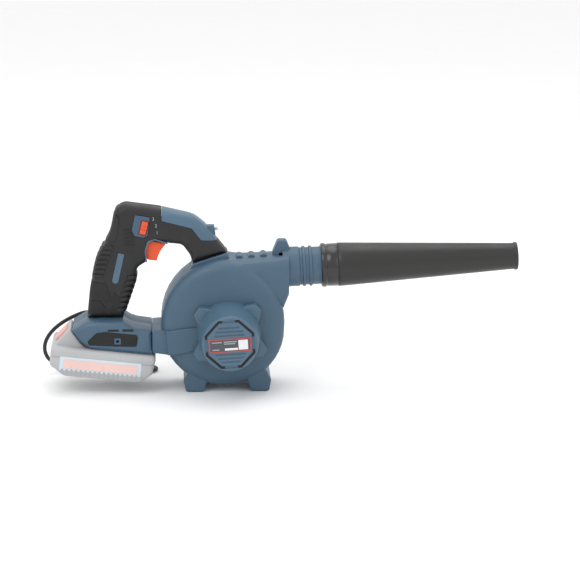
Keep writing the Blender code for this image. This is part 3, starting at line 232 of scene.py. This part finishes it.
def buildStudio():
    scene = bpy.context.scene
    scene.view_settings.view_transform = "Standard"
    world = bpy.data.worlds.new("studioAir")
    scene.world = world
    world.use_nodes = True
    world.node_tree.nodes["Background"].inputs["Color"].default_value = (1, 1, 1, 1)
    world.node_tree.nodes["Background"].inputs["Strength"].default_value = 1.0
    bpy.ops.mesh.primitive_plane_add(size=8, location=(0, 0, -0.0004))
    floor = bpy.context.object
    floor.name = "paleFloor"
    floor.data.materials.append(mouldedPlastic("paleFloor", (0.93, 0.93, 0.93), 0.9, 300, 0.02, 0.005))
    middle = spot(0.06, 0, 0.04)
    addAreaLight("keyLight", middle + Vector((-0.9, -1.1, 1.5)), middle, 1.1, 9)
    addAreaLight("fillLight", middle + Vector((1.4, -1.2, 0.9)), middle, 1.4, 3)
    addAreaLight("topLight", middle + Vector((0.1, 0.5, 1.8)), middle, 1.6, 9)
    turn, rise = math.radians(studio["cameraTurn"]), math.radians(studio["cameraRise"])
    back = Vector((math.sin(turn) * math.cos(rise), -math.cos(turn) * math.cos(rise), math.sin(rise)))
    camera = bpy.data.objects.new("studioCamera", bpy.data.cameras.new("studioCamera"))
    camera.data.lens = studio["lens"]
    camera.location = spot(*studio["aim"]) + back * studio["cameraReach"]
    camera.rotation_euler = (-back).to_track_quat("-Z", "Y").to_euler()
    scene.collection.objects.link(camera)
    scene.camera = camera


buildStudio()
print("studio ready")


def finishPiece(piece, finish, body, sharp=34):
    piece.data.materials.clear()
    piece.data.materials.append(finishes[finish])
    piece.data.shade_smooth()
    piece.data.set_sharp_from_angle(angle=math.radians(sharp))
    if body:
        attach(piece, body)
    return piece


def newPiece(name, verts, faces, finish, body, sharp=34):
    mesh = bpy.data.meshes.new(name)
    mesh.from_pydata([tuple(v) for v in verts], [], faces)
    shape = bmesh.new()
    shape.from_mesh(mesh)
    bmesh.ops.remove_doubles(shape, verts=shape.verts, dist=1e-7)
    bmesh.ops.recalc_face_normals(shape, faces=shape.faces)
    shape.to_mesh(mesh)
    shape.free()
    piece = bpy.data.objects.new(name, mesh)
    bpy.context.scene.collection.objects.link(piece)
    return finishPiece(piece, finish, body, sharp)


def baked(piece):
    # the piece with its modifiers applied, as a plain mesh in the frame's own place
    bpy.context.view_layer.update()
    seen = piece.evaluated_get(bpy.context.evaluated_depsgraph_get())
    mesh = bpy.data.meshes.new_from_object(seen)
    mesh.transform(piece.matrix_world)
    name = piece.name
    bpy.data.objects.remove(piece)
    mesh.name = name
    made = bpy.data.objects.new(name, mesh)
    bpy.context.scene.collection.objects.link(made)
    return made


def plate(name, outline, low, high, rounding, finish, body, steps=3, sharp=34):
    # an outline in X and Z of the motor's frame, as thick as low to high along Y, with rounded rims
    curve = bpy.data.curves.new(name, "CURVE")
    curve.dimensions = "2D"
    curve.fill_mode = "BOTH"
    curve.extrude = (high - low) / 2 - rounding
    curve.bevel_depth = rounding
    curve.bevel_resolution = steps
    curve.offset = -rounding
    line = curve.splines.new("POLY")
    line.points.add(len(outline) - 1)
    for point, (x, z) in zip(line.points, outline):
        point.co = (x, z, 0, 1)
    line.use_cyclic_u = True
    source = bpy.data.objects.new(name, curve)
    bpy.context.scene.collection.objects.link(source)
    source.location = spot(0, (low + high) / 2, 0)
    source.rotation_euler = (math.pi / 2, 0, 0)
    return finishPiece(baked(source), finish, body, sharp)


def turned(name, profile, start, way, finish, body, steps=96, sharp=34):
    # a profile of (radius, distance along way) turned about the line through start
    way = Vector(way).normalized()
    across = way.orthogonal().normalized()
    other = way.cross(across)
    verts, faces = [], []
    for radius, along in profile:
        for i in range(steps):
            angle = 2 * math.pi * i / steps
            outward = across * math.cos(angle) + other * math.sin(angle)
            verts.append(Vector(start) + way * along + outward * radius)
    for row in range(len(profile) - 1):
        for i in range(steps):
            j = (i + 1) % steps
            faces.append((row * steps + i, row * steps + j, (row + 1) * steps + j, (row + 1) * steps + i))
    if profile[0] == profile[-1] or profile[0][0] < 1e-6:
        return newPiece(name, verts, faces, finish, body, sharp)
    faces.append(tuple(range(steps)))
    faces.append(tuple(range((len(profile) - 1) * steps, len(profile) * steps)))
    return newPiece(name, verts, faces, finish, body, sharp)


def block(name, centre, half, axes, bevel, finish, body, segments=3):
    # a rounded block, axes being its three directions
    shape = bmesh.new()
    bmesh.ops.create_cube(shape, size=2)
    turn = Matrix([[axes[c][r] for c in range(3)] for r in range(3)]).to_4x4()
    shape.transform(Matrix.Translation(centre) @ turn @ Matrix.Diagonal((*half, 1)))
    bmesh.ops.bevel(shape, geom=shape.edges[:], offset=bevel, segments=segments, profile=0.6, affect="EDGES")
    mesh = bpy.data.meshes.new(name)
    shape.to_mesh(mesh)
    shape.free()
    piece = bpy.data.objects.new(name, mesh)
    bpy.context.scene.collection.objects.link(piece)
    return finishPiece(piece, finish, body, 40)


def tiltedAxes(angle):
    # the three directions, tipped by angle about Y
    turn = Matrix.Rotation(angle, 3, "Y")
    return [turn @ Vector(axis) for axis in ((1, 0, 0), (0, 1, 0), (0, 0, 1))]


def combine(piece, operation, tools, finish, body, sharp=34):
    for tool in tools:
        step = piece.modifiers.new("combine", "BOOLEAN")
        step.operation = operation
        step.solver = "EXACT"
        step.object = tool
    made = baked(piece)
    for tool in tools:
        bpy.data.objects.remove(tool)
    return finishPiece(made, finish, body, sharp)


def merge(name, pieces, finish, body, sharp=34):
    # small loose shapes of one finish as one piece
    shape = bmesh.new()
    for piece in pieces:
        shape.from_mesh(piece.data)
        bpy.data.objects.remove(piece)
    mesh = bpy.data.meshes.new(name)
    shape.to_mesh(mesh)
    shape.free()
    made = bpy.data.objects.new(name, mesh)
    bpy.context.scene.collection.objects.link(made)
    return finishPiece(made, finish, body, sharp)


def roundedLine(corners, steps=6):
    # corners of (x, z) or (x, z, radius)
    line = []
    for i, (x, z, *radii) in enumerate(corners):
        here = Vector((x, z))
        if not radii:
            line.append(here)
            continue
        before, after = Vector(corners[i - 1][:2]) - here, Vector(corners[(i + 1) % len(corners)][:2]) - here
        half = before.angle(after) / 2
        reach = min(radii[0] / math.tan(half), 0.49 * before.length, 0.49 * after.length)
        radius = reach * math.tan(half)
        centre = here + (before.normalized() + after.normalized()).normalized() * radius / math.sin(half)
        start, end = here + before.normalized() * reach - centre, here + after.normalized() * reach - centre
        whole = math.atan2(start.x * end.y - start.y * end.x, start.dot(end))
        line += [centre + Matrix.Rotation(whole * step / steps, 2) @ start for step in range(steps + 1)]
    return line


def smoothRoute(points, steps):
    ends = [points[0] * 2 - points[1], *points, points[-1] * 2 - points[-2]]
    route = []
    for a, b, c, d in zip(ends, ends[1:], ends[2:], ends[3:]):
        for t in [step / steps for step in range(steps)]:
            square, cube = 2 * a - 5 * b + 4 * c - d, 3 * b - a - 3 * c + d
            route.append((2 * b + (c - a) * t + square * t**2 + cube * t**3) / 2)
    return [*route, points[-1]]


strap = {"diameter": 0.0045, "standOff": 0.0395, "ends": (0.0064, -0.0004), "stepsBetween": 5}


def buildStrap():
    side, (upper, lower) = strap["standOff"], strap["ends"]
    route = [
        (-0.1470, side, upper), (-0.1600, side + 0.0002, upper + 0.0006), (-0.1710, 0.0405, 0.0040),
        (-0.1865, 0.0420, -0.0040), (-0.2000, 0.0440, -0.0150), (-0.2085, 0.0470, -0.0280),
        (-0.2105, 0.0510, -0.0410), (-0.2060, 0.0560, -0.0530), (-0.1945, 0.0610, -0.0618),
        (-0.1770, 0.0660, -0.0664), (-0.1540, 0.0705, -0.0675), (-0.1300, 0.0740, -0.0675),
        (-0.1060, 0.0750, -0.0675), (-0.0900, 0.0715, -0.0675), (-0.0825, 0.0625, -0.0675),
        (-0.0880, 0.0525, -0.0675), (-0.1040, 0.0480, -0.0675), (-0.1260, 0.0465, -0.0675),
        (-0.1470, 0.0460, -0.0660), (-0.1650, 0.0452, -0.0600), (-0.1790, 0.0445, -0.0490),
        (-0.1865, 0.0438, -0.0360), (-0.1870, 0.0430, -0.0230), (-0.1800, 0.0418, -0.0110),
        (-0.1690, 0.0402, -0.0030), (-0.1595, side + 0.0002, lower - 0.0006), (-0.1470, side, lower),
    ]
    points = smoothRoute([spot(*point) for point in route], strap["stepsBetween"])
    curve = bpy.data.curves.new("wristCord", "CURVE")
    curve.dimensions = "3D"
    curve.bevel_depth = strap["diameter"] / 2
    curve.bevel_resolution = 4
    curve.use_fill_caps = True
    line = curve.splines.new("POLY")
    line.points.add(len(points) - 1)
    for point, place in zip(line.points, points):
        point.co = (*place, 1)
    line.use_smooth = True
    cord = bpy.data.objects.new("wristCord", curve)
    curve.materials.append(finishes["strapCord"])
    bpy.context.scene.collection.objects.link(cord)
    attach(cord, "frame")
    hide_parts("wrist_strap")


buildStrap()


keptPieces = {
    "housingBlue": ("housing_near", "housing_far", "base_near", "base_far"),
    "coverBlue": ("handle_cover", "inlay_near", "inlay_far", "bezel_near", "bezel_far"),
    "switchBlue": ("switch_plate",),
    "handleBlack": ("handle_near", "handle_far", "intake_grille", "end_bell", "terminal_block",
                    "switch_module"),
    "triggerOrange": ("trigger",),
    "rockerOrange": ("speed_rocker",),
    "padRubber": ("side_pad_near", "side_pad_far"),
    "steel": ("motor_can", "motor_mount", "front_bearing", "motor_shaft", "impeller_nut", "lug_screw",
              "housing_screw_1", "housing_screw_2", "housing_screw_3", "cover_screw_1", "cover_screw_2",
              "cover_screw_3", "cover_screw_4", "handle_screw_1", "handle_screw_2", "base_screw_1",
              "base_screw_2"),
    "bronze": ("rear_bush", "commutator"),
    "darkIron": ("armature", "magnet_upper", "magnet_lower", "brush_front", "brush_rear"),
    "fanPlastic": ("impeller",),
    "packGrey": ("pack_upper", "pack_lower"),
    "latchRed": ("latch_button",),
    "labelRed": ("pack_label_near", "pack_label_far"),
    "cellWrap": ("cell_1", "cell_2", "cell_3", "cell_4", "cell_5"),
}
softEdges = {"base_near": 0.0007, "base_far": 0.0007,
             "handle_near": 0.0004, "handle_far": 0.0004, "handle_cover": 0.0006, "trigger": 0.0006,
             "latch_button": 0.0005, "pack_upper": 0.0006, "pack_lower": 0.0006, "bezel_near": 0.0003,
             "switch_plate": 0.0003}


def softenNode(node, finish):
    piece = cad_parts[node]
    piece.data.materials.clear()
    piece.data.materials.append(finishes[finish])
    piece.data.shade_smooth()
    weld = piece.modifiers.new("weld", "WELD")
    weld.merge_threshold = 0.00001
    if node in softEdges:
        flats = piece.modifiers.new("flats", "DECIMATE")
        flats.decimate_type = "DISSOLVE"
        flats.angle_limit = math.radians(1)
        edges = piece.modifiers.new("edges", "BEVEL")
        edges.width = softEdges[node]
        edges.segments = 2
        edges.limit_method = "ANGLE"
        edges.angle_limit = math.radians(40)
        edges.use_clamp_overlap = True
        edges.miter_outer = "MITER_ARC"
    split = piece.modifiers.new("split", "EDGE_SPLIT")
    split.split_angle = math.radians(32)


def dressKeptPieces():
    for finish, nodes in keptPieces.items():
        for node in nodes:
            softenNode(node, finish)


dressKeptPieces()
print("kept pieces dressed")


nozzleSizes = {"start": 0.105, "length": 0.2225, "rootRadius": 0.0247, "tipRadius": 0.0147, "wall": 0.0022,
               "band": 0.019, "bead": 0.0064, "socket": 0.0217, "socketDepth": 0.028}


def buildNozzle():
    n = nozzleSizes
    start, tip, root = n["start"], n["start"] + n["length"], n["rootRadius"]
    bandEnd = start + n["band"]
    tube = [(root - 0.0022, bandEnd), (root - 0.0005, bandEnd + 0.0001), (root - 0.0001, bandEnd + 0.0006)]
    for share in (0.02, 0.2, 0.4, 0.6, 0.8, 0.975):
        along = bandEnd + 0.001 + (tip - 0.005 - bandEnd) * share
        tube.append((root + (n["tipRadius"] - root) * share, along))
    lip = n["tipRadius"]
    tube += [(lip + 0.0002, tip - 0.0040), (lip + 0.0008, tip - 0.0034), (lip + 0.0010, tip - 0.0026),
             (lip + 0.0010, tip - 0.0008), (lip + 0.0007, tip - 0.0002), (lip + 0.0001, tip),
             (lip - n["wall"] + 0.0005, tip), (lip - n["wall"], tip - 0.0006),
             (root - n["wall"] - 0.0015, start + 0.036), (n["socket"], start + n["socketDepth"]),
             (n["socket"], start),
             (root - 0.0022, start), (root - 0.0022, bandEnd)]
    piece = turned("nozzleTube", tube, airStart, airWay, "nozzleBlack", "nozzle_set", 128, 40)
    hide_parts("nozzle")
    inner = root - 0.0018
    ring = [(inner, start), (root - 0.0010, start)]
    for i in range(9):
        angle = math.pi * i / 8
        ring.append((root - 0.0010 + 0.0012 * math.sin(angle), start + 0.0030 - 0.0030 * math.cos(angle)))
    ring += [(root - 0.0011, start + n["bead"]), (root - 0.0007, start + n["bead"] + 0.0006),
             (root - 0.0004, bandEnd - 0.0008), (root - 0.0008, bandEnd - 0.0003), (inner, bandEnd - 0.0003),
             (inner, start)]
    band = turned("nozzleBand", ring, airStart, airWay, "nozzleGloss", "nozzle_set", 128, 50)
    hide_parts("nozzle_collar")
    # a black ring at the bottom of the gap between band and tube: painted shade in the crevice
    low, high = root - 0.0016, root - 0.0009
    shadow = [(low, bandEnd - 0.0004), (high, bandEnd - 0.0004), (high, bandEnd + 0.0002),
              (low, bandEnd + 0.0002), (low, bandEnd - 0.0004)]
    paintedSeamShadow = turned("nozzleSeamPaintedShadow", shadow, airStart, airWay, "paintedShadeBlack", "nozzle_set", 128)


buildNozzle()
print("nozzle built")


coverSizes = {"back": -0.0343, "face": -0.0860, "baseRadius": 0.0362, "faceRadius": 0.0312,
              "lugReach": 0.0452, "lugDepth": 0.0125, "lugAngles": (40.25, 139.75, 211.25, 328.75),
              "grooveOuter": 0.0272, "grooveInner": 0.0244, "grooveFloor": 0.0012, "slotHalf": 0.0013,
              "slotHook": 0.0036, "slatHeights": (0.0188, 0.0145, 0.0102, -0.0112, -0.0155, -0.0198),
              "slatHalf": (0.0011, 0.0010), "slatMost": 0.0190, "slatRoom": 0.0320}


def turnedOutline(outline, angle):
    turn = Matrix.Rotation(angle, 2)
    return [turn @ Vector(point[:2]) for point in outline]


def eightSides(radius):
    # an octagon whose flats are square to X and Z
    c = radius * 0.42
    return [(radius, -c), (radius, c), (c, radius), (-c, radius),
            (-radius, c), (-radius, -c), (-c, -radius), (c, -radius)]


def buildMotorCover():
    c = coverSizes
    back, face, wide, narrow = c["back"], c["face"], c["baseRadius"], c["faceRadius"]
    outer = [(wide - 0.0026, back), (wide, back), (wide - 0.0001, back - 0.004)]
    outer += [(wide + (narrow - wide) * s, back + (face + 0.0035 - back) * s) for s in (0.3, 0.6, 0.9, 0.97)]
    for i in range(7):
        angle = math.pi / 2 * i / 6
        outer.append((narrow - 0.0030 + 0.0028 * math.cos(angle), face + 0.0030 - 0.0030 * math.sin(angle)))
    outer += [(narrow - 0.0040, face + 0.0001), (0, face + 0.0001)]
    inner = [(0, face + 0.0045), (narrow - 0.0045, face + 0.0045), (wide - 0.0026, back)]
    cover = turned("motorCover", inner + outer[1:], spot(0, 0, 0), sideways, "coverBlue", None, 96)
    lugs = []
    for i, degrees in enumerate(c["lugAngles"]):
        angle = math.radians(degrees) + coverTurn
        near = wide - 0.0065
        point = ((near, 0.0135), (c["lugReach"] - 0.0050, 0.0080), (c["lugReach"], 0.0048))
        outline = turnedOutline([(x, -z) for x, z in point] + list(reversed(point)), angle)
        lugs.append(plate(f"lug{i}", outline, back - c["lugDepth"], back, 0.0011, "coverBlue", None, 2))
    cover = combine(cover, "UNION", lugs, "coverBlue", None)
    outline = turnedOutline(eightSides(c["grooveOuter"]), coverTurn)
    groove = plate("groove", outline, face - 0.003, face + c["grooveFloor"], 0, "coverBlue", None, 0)
    cover = combine(cover, "DIFFERENCE", [groove], "coverBlue", None)
    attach(cover, "frame")
    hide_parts("motor_cover")


def buildCoverIsland():
    c, face = coverSizes, coverSizes["face"]
    outline = turnedOutline(eightSides(c["grooveInner"]), coverTurn)
    island = plate("island", outline, face + 0.0002, face + 0.0030, 0.0005, "coverBlue", None, 2)
    axes = tiltedAxes(-coverTurn)
    slats = []
    for z in c["slatHeights"]:
        half = min(c["slatMost"], c["slatRoom"] - abs(z)) * 0.86
        centre = spot(0, face + 0.0002, 0) + axes[2] * z
        slats.append(block(f"slat{z}", centre, (half, *c["slatHalf"]), axes, 0.0007, "coverBlue", None))
    island = combine(island, "DIFFERENCE", slats, "coverBlue", "frame")
    island.name = "coverIsland"


def buildCoverSlots():
    # one bent black strip at each slanting corner of the groove: painted shade standing in for the depth of a
    # slot
    c, face = coverSizes, coverSizes["face"]
    reach = (c["grooveOuter"] + c["grooveInner"]) / 2
    side = eightSides(reach)
    slots = []
    for i in range(4):
        start, end = Vector(side[(2 * i + 1) % 8]), Vector(side[(2 * i + 2) % 8])
        line = [start + (Vector(side[2 * i]) - start).normalized() * c["slotHook"], start, end,
                end + (Vector(side[(2 * i + 3) % 8]) - end).normalized() * c["slotHook"]]
        share = c["slotHalf"] / reach
        outline = [point * (1 + share) for point in line] + [point * (1 - share) for point in reversed(line)]
        slots.append(plate(f"slot{i}", turnedOutline(outline, coverTurn), face + 0.0006, face + 0.0016, 0,
                           "paintedShadeBlack", None, 0))
    piece = merge("coverSlotPaintedShade", slots, "paintedShadeBlack", "frame")


buildMotorCover()
buildCoverIsland()
buildCoverSlots()
print("motor cover built")


plateSizes = {"half": 0.0232, "rise": 0.0076, "drop": -0.0010, "rim": 0.0012}


def plateBlock(name, left, right, low, high, level, finish):
    axes = tiltedAxes(-coverTurn)
    centre = spot(0, coverSizes["face"] - level, 0)
    centre += axes[0] * (left + right) / 2 + axes[2] * (low + high) / 2
    return block(name, centre, ((right - left) / 2, 0.0002, (high - low) / 2), axes, 0.00015, finish, None, 1)


def buildRatingPlate():
    s = plateSizes
    low, high = s["drop"] - s["rise"], s["drop"] + s["rise"]
    red = plateBlock("ratingPlate", -s["half"], s["half"], low, high, 0.0001, "plateRed")
    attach(red, "frame")
    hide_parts("name_plate")
    rim = s["rim"]
    grey = plateBlock("ratingField", -s["half"] + rim, s["half"] - rim, low + rim, high - rim, 0.0003,
                      "plateGrey")
    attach(grey, "frame")
    marks = [plateBlock("square", 0.0092, 0.0196, low + 0.0022, high - 0.0020, 0.0005, "plateWhite"),
             plateBlock("strip", -0.0060, 0.0084, low + 0.0022, low + 0.0046, 0.0005, "plateWhite")]
    bars = ((-0.0200, -0.0090, high - 0.0036), (-0.0196, -0.0120, low + 0.0034),
            (-0.0068, 0.0076, high - 0.0034), (-0.0068, 0.0058, high - 0.0056))
    for row, (left, right, z) in enumerate(bars):
        marks.append(plateBlock(f"bar{row}", left, right, z - 0.0006, z + 0.0006, 0.0005, "markGrey"))
    whites = merge("ratingMarks", marks[:2], "plateWhite", "frame")
    bars = merge("ratingBars", marks[2:], "markGrey", "frame")


buildRatingPlate()

handleSizes = {"half": 0.0155, "round": 0.0075}


def handleLine():
    return roundedLine((
        (-0.1580, 0.0133), (-0.1540, 0.0470, 0.080), (-0.1460, 0.0830, 0.080),
        (-0.1305, 0.1100, 0.040), (-0.1250, 0.1370, 0.008), (-0.1150, 0.1428, 0.012),
        (-0.0770, 0.1375, 0.060), (-0.0375, 0.1280, 0.030), (-0.0250, 0.1175, 0.020),
        (-0.0105, 0.0990, 0.020), (-0.0010, 0.0871), (-0.0395, 0.0748), (-0.0425, 0.0840, 0.012),
        (-0.0510, 0.0960, 0.009), (-0.0670, 0.0975, 0.012), (-0.0790, 0.0985, 0.008),
        (-0.0905, 0.0770, 0.008), (-0.1015, 0.0700, 0.008), (-0.1035, 0.0560, 0.040),
        (-0.1115, 0.0330, 0.040), (-0.1180, 0.0133),
    ), 4)


def rearEdge(z):
    # how far forward a rear rib reaches at a height
    return -0.1405 + (z - 0.06) * 0.36


def frontEdge(z):
    # where the finger side of the grip is at a height
    return -0.1145 + 0.34 * (z - 0.056)


gripTextures = (
    ("gripRibs", 0.0013, "handleBlack",
     [((-0.175, z), (rearEdge(z), z), (rearEdge(z) + 0.0015, z + 0.0015),
       (rearEdge(z), z + 0.0030), (-0.175, z + 0.0030))
      for z in (0.0608, 0.0662, 0.0716, 0.0770, 0.0824, 0.0878, 0.0932)]),
    ("thumbPad", 0.0007, "thumbTexture",
     [((-0.1600, 0.1010), (-0.1255, 0.1010), (-0.1225, 0.1120), (-0.1210, 0.1270), (-0.1240, 0.1310),
       (-0.1600, 0.1310))]),
    ("gripPanels", 0.0007, "gripBlack",
     [((-0.175, 0.0180), (-0.1420, 0.0180), (-0.1380, 0.0260), (-0.1440, 0.0340), (-0.175, 0.0340)),
      ((-0.175, 0.0370), (-0.1430, 0.0370), (-0.1350, 0.0300), (-0.1310, 0.0350), (-0.1370, 0.0540),
       (-0.175, 0.0560)),
      ((-0.1300, 0.0180), (-0.1230, 0.0180), (-0.1210, 0.0360), (-0.1270, 0.0430), (-0.1300, 0.0330))]),
    ("upperPanel", 0.0006, "gripBlack",
     [((-0.1160, 0.0960 + 0.0042 * i), (-0.1045, 0.0960 + 0.0042 * i), (-0.1040, 0.0980 + 0.0042 * i),
       (-0.1155, 0.0980 + 0.0042 * i)) for i in range(5)]),
    ("fingerRibs", 0.0014, "handleBlack",
     [((frontEdge(z), z), (-0.0800, z - 0.0020), (-0.0800, z + 0.0020),
       (frontEdge(z) + 0.0020, z + 0.0030))
      for z in (0.0220, 0.0282, 0.0344, 0.0406, 0.0468, 0.0530, 0.0592)])
)


def widened(line, reach):
    # the outline moved outward by reach
    result = []
    for i, here in enumerate(line):
        before, after = line[i - 1], line[(i + 1) % len(line)]
        way = (after - before).normalized()
        result.append(here + Vector((way.y, -way.x)) * reach)
    return result


def buildHandleSkins():
    h = handleSizes
    line = handleLine()
    area = sum(a.x * b.y - b.x * a.y for a, b in zip(line, line[1:] + line[:1]))
    for name, proud, finish, regions in gripTextures:
        deep = h["half"] + proud
        outline = widened(line, proud if area > 0 else -proud)
        skin = plate(name, outline, -deep, deep, h["round"], finish, None, 5)
        tools = [plate(f"{name}{i}", region, -0.03, 0.03, 0, finish, None, 0)
                 for i, region in enumerate(regions)]
        kept = merge(f"{name}Regions", tools, finish, None)
        combine(skin, "INTERSECT", [kept], finish, "frame")


buildHandleSkins()
print("handle skins built")


def sideBlocks(name, places, half, level, tilt, bevel, finish, body="frame"):
    # the same small block on both sides, at each (x, z) place
    axes = tiltedAxes(tilt)
    made = [block(f"{name}{i}", spot(x, side * level, z), half, axes, bevel, finish, None, 2)
            for side in (-1, 1) for i, (x, z) in enumerate(places)]
    merge(name, made, finish, body)


def buildSpeedMarks():
    made = []
    for i, (x, z) in enumerate(((-0.0828, 0.1262), (-0.0798, 0.1185), (-0.0786, 0.1108))):
        letters = bpy.data.curves.new(f"mark{i}", "FONT")
        letters.body = str(3 - i)
        letters.size = 0.0052
        letters.extrude = 0.0002
        letters.align_x, letters.align_y = "CENTER", "CENTER"
        mark = bpy.data.objects.new(f"mark{i}", letters)
        bpy.context.scene.collection.objects.link(mark)
        mark.location = spot(x, -handleSizes["half"] - 0.0001, z)
        mark.rotation_euler = (math.pi / 2, 0, 0)
        made.append(baked(mark))
    merge("speedMarks", made, "markGrey", "frame")


buildSpeedMarks()

baseSizes = {"half": 0.0340, "packHalf": 0.0370, "packX": -0.140, "packZ": -0.0200}


def buildArmBand():
    # the arm's front, which runs over the fan housing to the motor cover
    outline = roundedLine(((-0.0705, 0.0022), (-0.0560, 0.0046, 0.010), (-0.0300, 0.0070),
                           (-0.0300, -0.0190), (-0.0560, -0.0245, 0.010), (-0.0685, -0.0252)))
    band = plate("armBand", outline, -0.0372, -0.0325, 0.0018, "housingBlue", "frame", 4)


buildArmBand()


def buildBaseDetails():
    places = ((-0.1288, 0.0038), (-0.1125, 0.0038))
    # black strips on both sides of the base: painted shade standing in for vent openings
    sideBlocks("sideVentPaintedShade", places, (0.0061, 0.0003, 0.0012), baseSizes["half"] + 0.0001, 0, 0.0002,
               "paintedShadeBlack")


def packSpot(x, z):
    # a place on the battery, from its own rail frame to the motor's
    c, s = math.cos(packTilt), math.sin(packTilt)
    return baseSizes["packX"] + x * c + z * s, baseSizes["packZ"] - x * s + z * c


def buildPackDetails():
    side = baseSizes["packHalf"]
    ribs = [packSpot(-0.0440 + 0.0052 * i, -0.0262) for i in range(18)]
    sideBlocks("labelSurround", (packSpot(-0.0020, -0.01735),), (0.0455, 0.0004, 0.0078), side, packTilt,
               0.0004, "labelSurround", "battery")
    sideBlocks("packRibs", ribs, (0.0013, 0.0005, 0.0030), side + 0.0001, packTilt, 0.0004, "packRib",
               "battery")
    sideBlocks("packSeam", (packSpot(0.0004, -0.0105),), (0.0560, 0.0002, 0.0004), side + 0.0001, packTilt,
               0.0001, "markGrey", "battery")


buildBaseDetails()
buildPackDetails()
print("base and battery details built")
